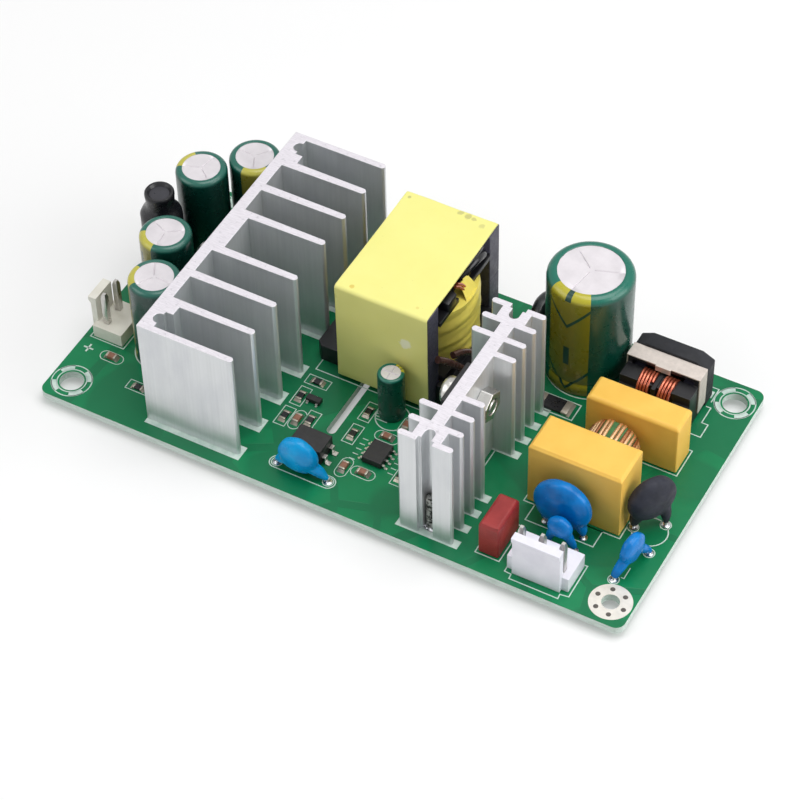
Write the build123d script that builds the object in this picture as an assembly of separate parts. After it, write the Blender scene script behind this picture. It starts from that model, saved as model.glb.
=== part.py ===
# Open-frame AC to DC power supply module.
# Layout coordinates run from the board's front left corner on its top face:
# x to the right along the front edge, y away from it, z up. Millimetres.
from build123d import *
import os
from math import atan2, degrees, hypot, sqrt

# Board
board_thickness = 1.6
board_corner = 1.8
hole_side_inset = 4.21
hole_end_inset = 4.79
hole_radius = 2.3
earth_hole_radius = 1.6
lead_stub = 1.4
lead_clearance = 0.1
slot_width = 1.8
slot_front = 15.7
slot_back = 34.0
slot_offset = 4.1

# Aluminium extrusions
sink_height = 24.4
fin_root = 1.75
fin_tip = 1.35
fin_ease = 0.3
pin_clearance = 0.05
pin_reach = 8.0
output_sink_front = 3.57
output_sink_back_margin = 1.48
output_plate = 2.15
output_middle_plate = 3.8
output_end_floor = 2.9
output_end_step = 4.45
output_fin_reach = 19.3
output_fin_pitch = 7.45
output_centre_bay = 9.95
output_outer_fin = 1.3
output_slot_width = 2.2
output_slot_depth = 1.6
output_slot_inset = 3.4
output_step_inset = 5.2
primary_spine = 2.6
primary_fin = 1.25
primary_fin_pitch = 3.85
primary_back_reach = 3.9
primary_front_reach = 4.0
primary_sink_length = 35.95
primary_sink_front = 3.0
primary_end_block = 1.5
primary_slot_width = 1.9
primary_slot_depth = 3.3
primary_mouth_width = 3.0
primary_mouth_depth = 1.0

# Power packages screwed to the extrusions
package_width = 10.0
package_height = 15.2
package_thickness = 4.5
package_tab = 2.7
package_tab_height = 6.2
package_hole_drop = 3.0
package_lead_pitch = 2.54
package_lead_width = 0.8
package_lead_depth = 2.4
package_lead_embed = 1.0
transistor_lift = 4.8
rectifier_lift = 3.0
transistor_shift = 0.55
screw_radius = 1.5
screw_clearance = 0.1
screw_head_radius = 2.7
screw_head_height = 2.0
nut_height = 2.4
nut_flats = 5.5

# Bridge rectifier
bridge_length = 14.5
bridge_width = 3.4
bridge_height = 10.5
bridge_bevel = 2.5
bridge_lift = 0.8
bridge_leads = 4
bridge_lead_pitch = 3.8
bridge_offset = 1.4
bridge_back_inset = 2.0

# Transformer
core_width = 19.0
core_length = 27.2
core_height = 23.0
core_leg = 3.8
core_yoke = 4.0
core_waist = 3.0
core_post = 9.6
core_lift = 0.9
tape_thickness = 0.3
tape_edge = 0.2
bobbin_wall = 1.0
bobbin_clearance = 0.15
lower_overhang = 1.0
upper_overhang = 0.3
rail_width = 5.8
rail_height = 3.8
rail_end = 1.3
rail_chamfer = 1.0
winding_bulge = 2.2
winding_side_gap = 0.3
upper_flange_gap = 5.0
upper_gap_depth = 2.0
transformer_pins_a_side = 5
transformer_pin_pitch = 5.0
transformer_pin = 0.8
pin_embed = 3.0
transformer_back_margin = 5.0
sink_to_rail = 0.5
rail_to_transistor = 1.2

# Electrolytic capacitors
output_can_diameter = 9.8
output_can_height = 20.0
output_can_pitch = 5.0
bulk_can_diameter = 16.0
bulk_can_height = 25.0
bulk_can_pitch = 7.5
auxiliary_can_diameter = 5.0
auxiliary_can_height = 11.0
auxiliary_can_pitch = 2.0
auxiliary_front = 22.7
auxiliary_to_transformer = 0.5
auxiliary_offset = 3.6
can_gap = 0.52
bulk_margin = 0.8
bulk_to_choke = 0.8
wire = 0.6
lead_embed = 0.5

# Output choke
drum_diameter = 8.1
drum_height = 20.0
drum_neck_diameter = 5.7
drum_shoulder = 15.2
drum_pitch = 5.0

# Film capacitors and fuse
film_front_length = 17.9
film_front_width = 8.4
film_front_height = 14.5
film_rear_length = 18.0
film_rear_width = 5.8
film_rear_height = 11.5
film_pitch = 15.0
film_chamfer = 0.5
fuse_width = 3.9
fuse_length = 8.1
fuse_height = 7.6
fuse_pitch = 5.08
fuse_chamfer = 0.4

# Toroid between the film capacitors
toroid_outer = 4.5
toroid_inner = 2.3
toroid_width = 6.0
toroid_wire = 0.45
toroid_turns = 10
toroid_arc = 140.0
toroid_clearance = 0.05
toroid_lift = 5.3
toroid_foot = 1.9
toroid_foot_rise = 1.2
toroid_side_gap = 1.05

# Line filter choke
choke_length = 14.5
choke_clip_width = 3.3
choke_clip = 0.3
choke_clip_height = 10.0
choke_clip_tail = 1.2
choke_bobbin_depth = 7.7
choke_cover_depth = 3.3
choke_cover_height = 10.5
choke_cover_chamfer = 2.4
choke_core_height = 3.2
choke_core_leg = 2.3
choke_core_lift = 4.4
choke_coil_radius = 3.0
choke_flange = 3.3
choke_flange_height = 6.2
choke_frame_wall = 0.9
choke_frame_top = 0.6
choke_divider = 0.8
choke_divider_height = 8.4
choke_base = 1.6
choke_tongue = 1.3
choke_tongue_width = 3.0
choke_former_wall = 0.6
choke_core_in_cover = 2.8
choke_pin = 0.8
choke_pin_inset = 1.2

# Coated discs: diameter and thickness of each
varistor_diameter = 11.0
varistor_thickness = 4.0
line_disc_diameter = 4.7
line_disc_thickness = 2.6
side_disc_diameter = 6.2
side_disc_thickness = 2.6
bridge_disc_diameter = 7.8
bridge_disc_thickness = 3.6
thermistor_diameter = 9.4
thermistor_thickness = 4.2
rear_disc_diameter = 9.0
rear_disc_thickness = 4.0
disc_ease = 0.3
disc_sides = 24
disc_lead_bend = 1.0
disc_lead_drop = 0.6

# Wire-to-board headers
header_pitch = 3.96
header_end_margin = 1.95
header_pin = 1.1
header_pin_height = 10.4
header_wall = 1.2
header_wall_reach = 0.75
header_wall_inset = 1.3
header_ridge = 0.5
header_ridge_height = 0.9
header_ridge_slope = 0.7
input_pins = 3
input_base_depth = 6.4
input_base_height = 3.4
input_pin_inset = 1.7
input_wall_height = 10.0
output_pins = 2
output_base_depth = 6.2
output_base_height = 2.9
output_pin_inset = 2.1
output_wall_height = 8.8

# Surface-mounted parts
chip_length = 2.0
chip_width = 1.25
chip_height = 0.5
chip_capacitor_height = 0.8
sense_length = 6.3
sense_width = 3.1
sense_height = 0.6
small_outline_width = 3.9
small_outline_length = 4.9
small_outline_height = 1.5
small_outline_span = 6.0
small_outline_pitch = 1.27
small_outline_lead = 0.42
opto_width = 6.5
opto_length = 4.6
opto_height = 3.4
opto_span = 9.4
opto_pitch = 2.54
opto_lead = 1.0
reference_length = 2.9
reference_width = 1.3
reference_height = 1.0
reference_span = 2.4
reference_lead_rise = 0.55
reference_lead_offset = 0.95
body_lift = 0.1
lead_sheet = 0.2
foot_share = 0.6

# Gaps along the right-hand column, front to back
header_front = 3.2
header_to_disc = 0.7
disc_to_varistor = 0.7
varistor_to_film = 0.9
film_to_choke = 3.5
choke_margin = 4.7
line_disc_y = header_front + input_base_depth + header_to_disc + line_disc_thickness / 2
varistor_y = line_disc_y + (line_disc_thickness + varistor_thickness) / 2 + disc_to_varistor
film_front_y = varistor_y + varistor_thickness / 2 + varistor_to_film
toroid_space = toroid_width + 2 * (toroid_clearance + toroid_wire + toroid_side_gap)
film_rear_y = film_front_y + film_front_width + toroid_space
choke_y = film_rear_y + film_rear_width + film_to_choke + choke_bobbin_depth + choke_cover_depth

# The board is as deep as its deepest column of parts
output_sink_half = output_centre_bay / 2 + 3 * output_fin_pitch + output_outer_fin / 2
sink_y = output_sink_front + output_sink_half
transformer_front = auxiliary_front + auxiliary_can_diameter + auxiliary_to_transformer
transformer_y = transformer_front + tape_thickness + core_length / 2
sense_gap = 0.2
sense_to_bulk = 1.95
sense_y = primary_sink_front + primary_sink_length + sense_gap + sense_width / 2
line_column = choke_y + choke_margin
sink_column = sink_y + output_sink_half + output_sink_back_margin
transformer_column = transformer_y + core_length / 2 + tape_thickness + transformer_back_margin
primary_column = sense_y + sense_width / 2 + sense_to_bulk + bulk_can_diameter + bulk_margin
board_width = max(line_column, sink_column, transformer_column, primary_column)

# Places along the board
output_header_x = 1.7
output_header_y = 18.2
header_to_can = 2.4
can_to_sink = 1.2
front_can_x = output_header_x + output_base_depth + header_to_can + output_can_diameter / 2
output_sink_x = front_can_x + output_can_diameter / 2 + can_to_sink
transformer_x = output_sink_x + output_fin_reach + sink_to_rail + rail_width + core_width / 2
spine_x = transformer_x + core_width / 2 + rail_width + rail_to_transistor + package_thickness
film_gap = 6.8
line_x = spine_x + primary_spine + primary_front_reach + film_gap
thermistor_zone = 9.3
board_length = line_x + film_front_length + thermistor_zone
primary_y = primary_sink_front + primary_sink_length / 2
slot_x = transformer_x - slot_offset

front_can_offset = 12.84
second_can_offset = 2.24
third_can_reach = 13.4
third_can_offset = 15.46
drum_offset = 6.26
can_to_package = 0.9
front_can_y = sink_y - front_can_offset
second_can_x = output_sink_x - package_thickness - can_to_package - output_can_diameter / 2
second_can_y = sink_y - second_can_offset
third_can_x = output_sink_x - third_can_reach
third_can_y = sink_y + third_can_offset
can_diagonal = (output_can_diameter + can_gap) / sqrt(2)
output_can_places = [(front_can_x, front_can_y), (second_can_x, second_can_y), (third_can_x, third_can_y),
                     (third_can_x + can_diagonal, third_can_y + can_diagonal)]
drum_edge = 0.35
drum_x = drum_edge + drum_diameter / 2
drum_y = sink_y + drum_offset

choke_inset = 4.0
sense_offset = 7.7
film_rear_inset = 2.6
toroid_inset = 9.6
fuse_offset = 2.2
input_header_inset = 3.85
choke_x = line_x + choke_inset
bulk_x = choke_x - bulk_to_choke - bulk_can_diameter / 2
bulk_y = board_width - bulk_margin - bulk_can_diameter / 2
auxiliary_x = transformer_x + auxiliary_offset
auxiliary_y = auxiliary_front + auxiliary_can_diameter / 2
sense_x = spine_x + sense_offset
film_rear_x = line_x + film_rear_inset
toroid_x = line_x + toroid_inset
toroid_y = film_front_y + film_front_width + toroid_space / 2
fuse_x = line_x - fuse_offset
fuse_y = 4.1
input_header_x = line_x + input_header_inset

# Coated discs: middle, height of the middle, and the feet of the two leads measured from the middle
varistor_inset = 8.3
line_disc_inset = 9.8
side_disc_inset = 4.5
bridge_disc_offset = 4.4
thermistor_side = 3.7
thermistor_back = 4.9
rear_disc_inset = 6.5
varistor_x = line_x + varistor_inset
varistor_z = 6.3
varistor_feet = [(-3.1, 0.0), (4.3, -0.3)]
line_disc_x = line_x + line_disc_inset
line_disc_z = 5.2
line_disc_feet = [(-2.2, 0.0), (2.7, 0.4)]
side_disc_x = board_length - side_disc_inset
side_disc_y = 13.5
side_disc_z = 4.9
side_disc_turn = 80.0
side_disc_feet = [(-1.4, -4.1), (1.5, 4.0)]
bridge_disc_x = transformer_x - bridge_disc_offset
bridge_disc_y = 5.4
bridge_disc_z = 4.3
bridge_disc_feet = [(-4.6, 0.1), (5.8, 0.2)]
thermistor_x = line_x + film_front_length + thermistor_side
thermistor_y = film_front_y + thermistor_back
thermistor_z = 7.2
thermistor_turn = 58.0
thermistor_feet = [(-2.3, -1.9), (2.5, 1.2)]
rear_disc_gap = 0.3
rear_disc_x = bulk_x - bulk_can_diameter / 2 - rear_disc_gap - rear_disc_thickness / 2
rear_disc_y = board_width - rear_disc_inset
rear_disc_z = 6.3
rear_disc_feet = [(0.0, -2.5), (0.0, 2.5)]

# Chips in front of the transformer
controller_offset = 6.35
opto_offset = 4.9
reference_offset = 10.3
controller_x = transformer_x + controller_offset
controller_y = 14.9
opto_x = transformer_x - opto_offset
opto_y = 10.6
reference_x = transformer_x - reference_offset
reference_y = 21.1

# Chip resistors and capacitors, in columns on both sides of the isolation slot
left_column_offset = 13.2
left_end_offset = 12.0
inner_column_offset = 8.6
slot_column_offset = 0.2
right_column_offset = 12.2
beside_opto_offset = 10.8
before_controller_offset = 2.2
controller_row_offset = 5.9
behind_controller_offset = 5.6
beside_can_offset = 7.5
left_column = transformer_x - left_column_offset
left_front_y = 15.5
left_back_y = 21.0
left_end_x = transformer_x - left_end_offset
left_end_y = 25.4
inner_column = transformer_x - inner_column_offset
inner_y = 16.6
slot_column = transformer_x - slot_column_offset
slot_front_y = 17.4
slot_back_y = 23.3
right_column = transformer_x + right_column_offset
right_y = 12.6
output_row_x = 16.0
output_row_y = 9.0
turned_resistors = [(left_column, left_front_y), (left_column, left_back_y), (inner_column, inner_y),
                    (slot_column, slot_front_y), (slot_column, slot_back_y), (right_column, right_y)]
flat_resistors = [(left_end_x, left_end_y), (output_row_x, output_row_y)]
beside_opto_x = transformer_x - beside_opto_offset
beside_opto_y = 15.8
before_controller_x = transformer_x + before_controller_offset
before_controller_y = 9.9
controller_row_x = transformer_x + controller_row_offset
controller_row_y = 10.2
behind_controller_x = transformer_x + behind_controller_offset
behind_controller_y = 19.6
beside_can_x = transformer_x + beside_can_offset
beside_can_y = 23.6
beside_header_x = 7.6
beside_header_y = 13.1
turned_capacitors = [(beside_opto_x, beside_opto_y), (before_controller_x, before_controller_y),
                     (beside_can_x, beside_can_y)]
flat_capacitors = [(behind_controller_x, behind_controller_y), (controller_row_x, controller_row_y),
                   (beside_header_x, beside_header_y)]

lead_holes = []


def block(x, y, z, length, width, height):
    """A block from its lowest corner."""
    return Pos(x, y, z) * Box(length, width, height, align=(Align.MIN, Align.MIN, Align.MIN))


def rod(x, y, z, radius, height):
    """A round post standing at a place."""
    return Pos(x, y, z) * Cylinder(radius, height, align=(Align.CENTER, Align.CENTER, Align.MIN))


def lead(x, y, size, top):
    """A square lead from its stub below the board up to a height, with its hole in the board."""
    lead_holes.append((x, y, size + 2 * lead_clearance))
    bottom = -board_thickness - lead_stub
    return block(x - size / 2, y - size / 2, bottom, size, size, top - bottom)


def save(name, *solids):
    """Writes one node, moved to the middle of the module's footprint, with the lead ends at zero."""
    shift = Pos(-board_length / 2, -board_width / 2, board_thickness + lead_stub)
    pieces = []
    for solid in solids:
        pieces.extend((shift * solid).solids())
    node = pieces[0] if len(pieces) == 1 else Compound(children=pieces)
    node.label = name
    export_step(node, "parts/" + name + ".step")


def fin(root_x, tip_x, y, root, tip):
    """A tapered fin with its tip eased at both corners, in plan."""
    way = 1 if tip_x > root_x else -1
    end = tip_x - way * tip * fin_ease
    blunt = tip / 2 - tip * fin_ease
    upper = [(root_x, y + root / 2), (end, y + tip / 2), (tip_x, y + blunt)]
    lower = [(tip_x, y - blunt), (end, y - tip / 2), (root_x, y - root / 2)]
    return make_face(Polyline(*upper, *lower, close=True))


def strip(x0, x1, y0, y1):
    """A plan rectangle between two corners."""
    return Pos((x0 + x1) / 2, (y0 + y1) / 2) * Rectangle(abs(x1 - x0), abs(y1 - y0))


def slot_plan(x0, x1, y, width):
    """A plan slot with a round bottom at x0 and an open end at x1."""
    radius = width / 2
    return Pos(x0 + radius, y) * Circle(radius) + strip(x0 + radius, x1, y - radius, y + radius)


def output_heatsink():
    """Plate with eight tapered fins to the right, thick middle bay, and a pin slot in each end bay."""
    face = output_sink_x
    offsets = [output_centre_bay / 2 + i * output_fin_pitch for i in range(4)]
    half = output_sink_half
    tip_x = face + output_fin_reach
    plan = strip(face, face + output_plate, sink_y - half, sink_y + half)
    plan += strip(face, face + output_middle_plate, sink_y - offsets[0], sink_y + offsets[0])
    for side in (-1, 1):
        end = sink_y + side * half
        step = end - side * output_step_inset
        inner = sink_y + side * offsets[-2]
        plan += strip(face, face + output_end_floor, end, step)
        plan += strip(face, face + output_end_step, step, inner)
        for i, offset in enumerate(offsets):
            root = output_outer_fin if i == 3 else fin_root
            tip = output_outer_fin if i == 3 else fin_tip
            plan += fin(face + output_plate / 2, tip_x, sink_y + side * offset, root, tip)
        bottom = face + output_slot_depth
        plan -= slot_plan(bottom, face + output_end_step, end - side * output_slot_inset, output_slot_width)
    sink = extrude(plan, sink_height)
    hole_z = rectifier_lift + package_height - package_hole_drop
    depth = output_middle_plate
    place = Pos(face + depth / 2, sink_y, hole_z) * Rot(0, 90, 0)
    return sink - place * Cylinder(screw_radius + screw_clearance, depth)


def primary_heatsink():
    """Spine with short fins on both faces and a pin slot let into each end."""
    y0 = primary_sink_front
    y1 = y0 + primary_sink_length
    plan = strip(spine_x, spine_x + primary_spine, y0, y1)
    middle = spine_x + primary_spine / 2
    outermost = primary_sink_length / 2 - primary_fin / 2
    for side in (-1, 1):
        for i in range(4):
            y = primary_y + side * (outermost - i * primary_fin_pitch)
            plan += fin(middle, spine_x + primary_spine + primary_front_reach, y, primary_fin, primary_fin)
            if i < 3:
                plan += fin(middle, spine_x - primary_back_reach, y, primary_fin, primary_fin)
        end = y0 if side < 0 else y1
        second = primary_y + side * (outermost - primary_fin_pitch)
        plan += strip(spine_x - primary_end_block, spine_x + primary_spine + primary_end_block, end, second)
        bottom = end - side * (primary_slot_depth - primary_slot_width / 2)
        plan -= Pos(middle, bottom) * Circle(primary_slot_width / 2)
        plan -= strip(middle - primary_slot_width / 2, middle + primary_slot_width / 2, end, bottom)
        mouth = end - side * primary_mouth_depth
        plan -= strip(middle - primary_mouth_width / 2, middle + primary_mouth_width / 2, end, mouth)
    sink = extrude(plan, sink_height)
    hole_z = transistor_lift + package_height - package_hole_drop
    place = Pos(middle, primary_y + transistor_shift, hole_z) * Rot(0, 90, 0)
    return sink - place * Cylinder(screw_radius + screw_clearance, primary_spine)


def sink_pin(x, y, slot):
    """A twelve-sided solder pin pressed into the bottom of an end slot."""
    radius = slot / 2 - pin_clearance
    lead_holes.append((x, y, 2 * (radius + lead_clearance)))
    bottom = -board_thickness - lead_stub
    return Pos(x, y, bottom) * extrude(RegularPolygon(radius, 12), pin_reach - bottom)


def heatsink_pins():
    """Two pins under each extrusion."""
    pins = []
    output_x = output_sink_x + output_slot_depth + output_slot_width / 2
    primary_x = spine_x + primary_spine / 2
    for side in (-1, 1):
        y = sink_y + side * (output_sink_half - output_slot_inset)
        pins.append(sink_pin(output_x, y, output_slot_width))
        inset = primary_slot_depth - primary_slot_width / 2
        y = primary_y + side * (primary_sink_length / 2 - inset)
        pins.append(sink_pin(primary_x, y, primary_slot_width))
    return pins


def power_package(face_x, y, lift):
    """Moulded three-lead package against a face, with a thinner tab around its screw hole."""
    half = package_width / 2
    body_height = package_height - package_tab_height
    body = block(face_x - package_thickness, y - half, lift, package_thickness, package_width, body_height)
    tab_z = lift + body_height
    body += block(face_x - package_tab, y - half, tab_z, package_tab, package_width, package_tab_height)
    hole_z = lift + package_height - package_hole_drop
    place = Pos(face_x - package_tab / 2, y, hole_z) * Rot(0, 90, 0)
    body -= place * Cylinder(screw_radius + screw_clearance, package_tab)
    top = lift + package_lead_embed
    for i in (-1, 0, 1):
        body += lead(face_x - package_lead_depth, y + i * package_lead_pitch, package_lead_width, top)
    return body


def screw(face_x, y, z, length):
    """Pan head screw pointing along +X, with its head against a tab."""
    seat = face_x - package_tab
    head_place = Pos(seat - screw_head_height / 2, y, z) * Rot(0, 90, 0)
    head = head_place * Cylinder(screw_head_radius, screw_head_height)
    return head + Pos(seat + length / 2, y, z) * Rot(0, 90, 0) * Cylinder(screw_radius, length)


def nut(face_x, y, z):
    """Hexagon nut on the far side of the spine."""
    plan = RegularPolygon(nut_flats / 2, 6, major_radius=False) - Circle(screw_radius + screw_clearance)
    return Pos(face_x, y, z) * Rot(0, 90, 0) * extrude(plan, nut_height)


def bridge_rectifier():
    """Flat four-lead bridge standing behind the transformer, with one bevelled corner."""
    half = bridge_length / 2
    top = bridge_height
    x = transformer_x - bridge_offset
    y = board_width - bridge_back_inset
    outline = [(-half, bridge_lift), (half, bridge_lift), (half, top), (bridge_bevel - half, top),
               (-half, top - bridge_bevel)]
    face = Plane.XZ * make_face(Polyline(*outline, close=True))
    body = Pos(x, y + bridge_width / 2, 0) * extrude(face, bridge_width)
    for i in range(bridge_leads):
        lead_x = x + (i - (bridge_leads - 1) / 2) * bridge_lead_pitch
        body += lead(lead_x, y, package_lead_width, bridge_lift + lead_embed)
    return body


def core_half(upper):
    """E-shaped ferrite half: a yoke, two flat outer legs and a round centre post."""
    base = core_lift
    half = core_height / 2
    x0 = transformer_x - core_width / 2
    y0 = transformer_y - core_length / 2
    z0 = base + half if upper else base
    yoke_z = base + core_height - core_yoke if upper else base
    half_x = core_width / 2
    half_y = core_length / 2
    leg_y = half_y - core_leg
    waist_x = half_x - core_waist
    waist_y = leg_y - core_waist
    quarter = [(waist_x, waist_y), (half_x, leg_y), (half_x, half_y)]
    upper_side = quarter + [(-x, y) for x, y in reversed(quarter)]
    outline = upper_side + [(-x, -y) for x, y in upper_side]
    yoke = extrude(make_face(Polyline(*outline, close=True)), core_yoke)
    piece = Pos(transformer_x, transformer_y, yoke_z) * yoke
    piece += block(x0, y0, z0, core_width, core_leg, half)
    piece += block(x0, y0 + core_length - core_leg, z0, core_width, core_leg, half)
    return piece + rod(transformer_x, transformer_y, z0, core_post / 2, half)


def tape_band():
    """Tape wound once round the core, over its top, ends and underside."""
    length = core_length + 2 * tape_thickness
    height = core_height + 2 * tape_thickness
    width = core_width - 2 * tape_edge
    y0 = transformer_y - length / 2
    z0 = core_lift - tape_thickness
    band = block(transformer_x - width / 2, y0, z0, width, length, height)
    core_x = transformer_x - core_width / 2
    return band - block(core_x, y0 + tape_thickness, core_lift, core_width, core_length, core_height)


def window_half():
    """Half the width of the window between the core's outer legs, less the bobbin's clearance."""
    return core_length / 2 - core_leg - bobbin_clearance


def winding_plan():
    """Outline of the winding: two half rounds pulled apart across the core's open sides."""
    width = 2 * (window_half() - winding_side_gap)
    return SlotOverall(core_width + 2 * winding_bulge, width)


def pin_places():
    """Where the transformer's pins stand, in two rows."""
    places = []
    for side in (-1, 1):
        x = transformer_x + side * (core_width / 2 + rail_width / 2)
        for i in range(transformer_pins_a_side):
            middle = (transformer_pins_a_side - 1) / 2
            places.append((x, transformer_y + (i - middle) * transformer_pin_pitch))
    return places


def transformer_bobbin(pins):
    """Moulded former: a tube round the post, two flanges, and a pin rail along each open side."""
    floor = core_lift + core_yoke + bobbin_clearance
    ceiling = core_lift + core_height - core_yoke - bobbin_clearance
    inner = core_post / 2 + bobbin_clearance
    place = Pos(transformer_x, transformer_y)
    tube = Pos(0, 0, floor) * extrude(Circle(inner + bobbin_wall) - Circle(inner), ceiling - floor)
    plate = Rectangle(core_width + 2 * lower_overhang, 2 * window_half()) - Circle(inner)
    lower = Pos(0, 0, floor) * extrude(plate, bobbin_wall)
    length = core_width + 2 * upper_overhang
    plate = Rectangle(length, 2 * window_half()) - Circle(inner)
    for side in (-1, 1):
        gap_x = side * (length - upper_gap_depth) / 2
        plate -= Pos(gap_x, 0) * Rectangle(upper_gap_depth, upper_flange_gap)
    upper = Pos(0, 0, ceiling - bobbin_wall) * extrude(plate, bobbin_wall)
    body = place * (tube + lower + upper)
    rail_length = (transformer_pins_a_side - 1) * transformer_pin_pitch + 2 * rail_end
    near = core_width / 2 + bobbin_clearance
    far = core_width / 2 + rail_width
    step = core_width / 2 + lower_overhang
    rail_y = transformer_y - rail_length / 2
    for side in (-1, 1):
        rail_x = transformer_x + (near if side > 0 else -far)
        rail = block(rail_x, rail_y, 0, far - near, rail_length, rail_height)
        outer = rail.edges().filter_by(Axis.Z).sort_by(Axis.X)
        corners = outer[-2:] if side > 0 else outer[:2]
        body += chamfer(corners, rail_chamfer)
        step_x = transformer_x + (near if side > 0 else -step)
        body += block(step_x, rail_y, 0, step - near, rail_length, floor)
    for pin in pins:
        body -= pin
    return body


def transformer_winding():
    """The taped winding between the flanges, oval and bulging past the core's open sides."""
    floor = core_lift + core_yoke + bobbin_clearance + bobbin_wall
    ceiling = core_lift + core_height - core_yoke - bobbin_clearance - bobbin_wall
    plan = winding_plan() - Circle(core_post / 2 + bobbin_clearance + bobbin_wall)
    return Pos(transformer_x, transformer_y, floor) * extrude(plan, ceiling - floor)


def can(x, y, diameter, height, pitch):
    """Sealed can in its shrink sleeve, on two leads."""
    body = rod(x, y, 0, diameter / 2, height)
    for side in (-1, 1):
        body += lead(x + side * pitch / 2, y, wire, lead_embed)
    return body


def output_choke():
    """Drum choke in a black sleeve, with a narrower top."""
    body = rod(drum_x, drum_y, 0, drum_diameter / 2, drum_shoulder)
    body += rod(drum_x, drum_y, 0, drum_neck_diameter / 2, drum_height)
    for side in (-1, 1):
        body += lead(drum_x, drum_y + side * drum_pitch / 2, wire, lead_embed)
    return body


def film_capacitor(x, y, length, width, height):
    """Box capacitor with bevelled top edges and a lead near each end."""
    body = block(x, y, 0, length, width, height)
    body = chamfer(body.edges().group_by(Axis.Z)[-1], film_chamfer)
    for side in (-1, 1):
        body += lead(x + length / 2 + side * film_pitch / 2, y + width / 2, wire, lead_embed)
    return body


def fuse():
    """Square-bodied fuse with its two leads on the long axis."""
    body = block(fuse_x, fuse_y, 0, fuse_width, fuse_length, fuse_height)
    body = chamfer(body.edges().group_by(Axis.Z)[-1], fuse_chamfer)
    for side in (-1, 1):
        lead_y = fuse_y + fuse_length / 2 + side * fuse_pitch / 2
        body += lead(fuse_x + fuse_width / 2, lead_y, wire, lead_embed)
    return body


def toroid_core():
    """Ferrite ring standing on edge, its axis along the board's width."""
    ring = extrude(Circle(toroid_outer) - Circle(toroid_inner), toroid_width / 2, both=True)
    return Pos(toroid_x, toroid_y, toroid_lift) * Rot(90, 0, 0) * ring


def toroid_winding():
    """Two windings of closed turns on the ring's sides; the lowest turn of each carries two leads."""
    inside = toroid_inner - toroid_clearance
    outside = toroid_outer + toroid_clearance
    height = outside - inside
    depth = toroid_width + 2 * toroid_clearance
    loop = Rectangle(height + 2 * toroid_wire, depth + 2 * toroid_wire) - Rectangle(height, depth)
    turn = Pos((inside + outside) / 2, 0, -toroid_wire / 2) * extrude(loop, toroid_wire)
    lowest = toroid_arc / 2
    turns = []
    for side in (1, -1):
        for i in range(toroid_turns):
            tilt = lowest - i * toroid_arc / (toroid_turns - 1)
            angle = tilt if side > 0 else 180 - tilt
            made = Pos(toroid_x, toroid_y, toroid_lift) * Rot(0, angle, 0) * turn
            if i == 0:
                for way in (-1, 1):
                    foot_y = toroid_y + way * (depth / 2 + toroid_wire / 2)
                    made += lead(toroid_x + side * toroid_foot, foot_y, toroid_wire, toroid_foot_rise)
            turns.append(made)
    return turns


def choke_front():
    """Front of the filter choke's base."""
    return choke_y - choke_cover_depth - choke_bobbin_depth


def choke_core_front():
    """Front face of the choke's ferrite."""
    return choke_front() + choke_flange / 2 - choke_former_wall / 4


def choke_core_ring():
    """Ferrite ring lying flat: the front leg carries the coils, the rear leg is under the cover."""
    inset = choke_clip + choke_frame_wall
    length = choke_length - 2 * inset
    y0 = choke_core_front()
    depth = choke_y - choke_cover_depth + choke_core_in_cover - y0
    outer = block(choke_x + inset, y0, choke_core_lift, length, depth, choke_core_height)
    leg = choke_core_leg
    return outer - block(choke_x + inset + leg, y0 + leg, choke_core_lift, length - 2 * leg,
                         depth - 2 * leg, choke_core_height)


def choke_axis():
    """Distance of the coil's axis from the front, and its height."""
    return choke_core_front() + choke_core_leg / 2, choke_core_lift + choke_core_height / 2


def choke_former():
    """Outside depth and height of the square tube that carries the coils."""
    wall = choke_former_wall
    return choke_core_leg + 2 * wall, choke_core_height + 2 * wall


def choke_bobbin(core):
    """Moulded former: base, low end flanges, divider, tube on the front leg, frame under the clip."""
    x0 = choke_x + choke_clip
    length = choke_length - 2 * choke_clip
    y0 = choke_front()
    front_depth = choke_bobbin_depth - choke_clip_width
    height = choke_clip_height - choke_clip
    body = block(x0, y0, 0, length, choke_bobbin_depth, choke_base)
    for x in (x0, x0 + length - choke_flange):
        body += block(x, y0, 0, choke_flange, front_depth, choke_flange_height)
    for x in (x0, x0 + length - choke_frame_wall):
        body += block(x, y0 + front_depth, 0, choke_frame_wall, choke_clip_width, height)
    body += block(x0, y0 + front_depth, height - choke_frame_top, length, choke_clip_width, choke_frame_top)
    middle = x0 + (length - choke_divider) / 2
    body += block(middle, y0, 0, choke_divider, front_depth, choke_divider_height)
    y, z = choke_axis()
    side, rise = choke_former()
    body += block(x0, y - side / 2, z - rise / 2, length, side, rise)
    return body - core


def choke_coils():
    """Two coils side by side on the former's tube."""
    y, z = choke_axis()
    x0 = choke_x + choke_clip + choke_flange
    length = choke_length - 2 * choke_clip - 2 * choke_flange
    width = (length - choke_divider) / 2
    side, rise = choke_former()
    coils = []
    for x in (x0, x0 + width + choke_divider):
        coil = Pos(x + width / 2, y, z) * Rot(0, 90, 0) * Cylinder(choke_coil_radius, width)
        coils.append(coil - block(x, y - side / 2, z - rise / 2, width, side, rise))
    return coils


def choke_clip_strap():
    """Spring steel strap over the top and down both ends, with a small tongue at the front."""
    y0 = choke_y - choke_cover_depth - choke_clip_width
    top = choke_clip_height
    outer = block(choke_x, y0, choke_clip_tail, choke_length, choke_clip_width, top - choke_clip_tail)
    inner = block(choke_x + choke_clip, y0, choke_clip_tail, choke_length - 2 * choke_clip, choke_clip_width,
                  top - choke_clip - choke_clip_tail)
    strap = outer - inner
    x = choke_x + (choke_length - choke_tongue_width) / 2
    tongue_z = top - choke_tongue
    return strap + block(x, y0 - choke_clip, tongue_z, choke_tongue_width, choke_clip, choke_tongue)


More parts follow.
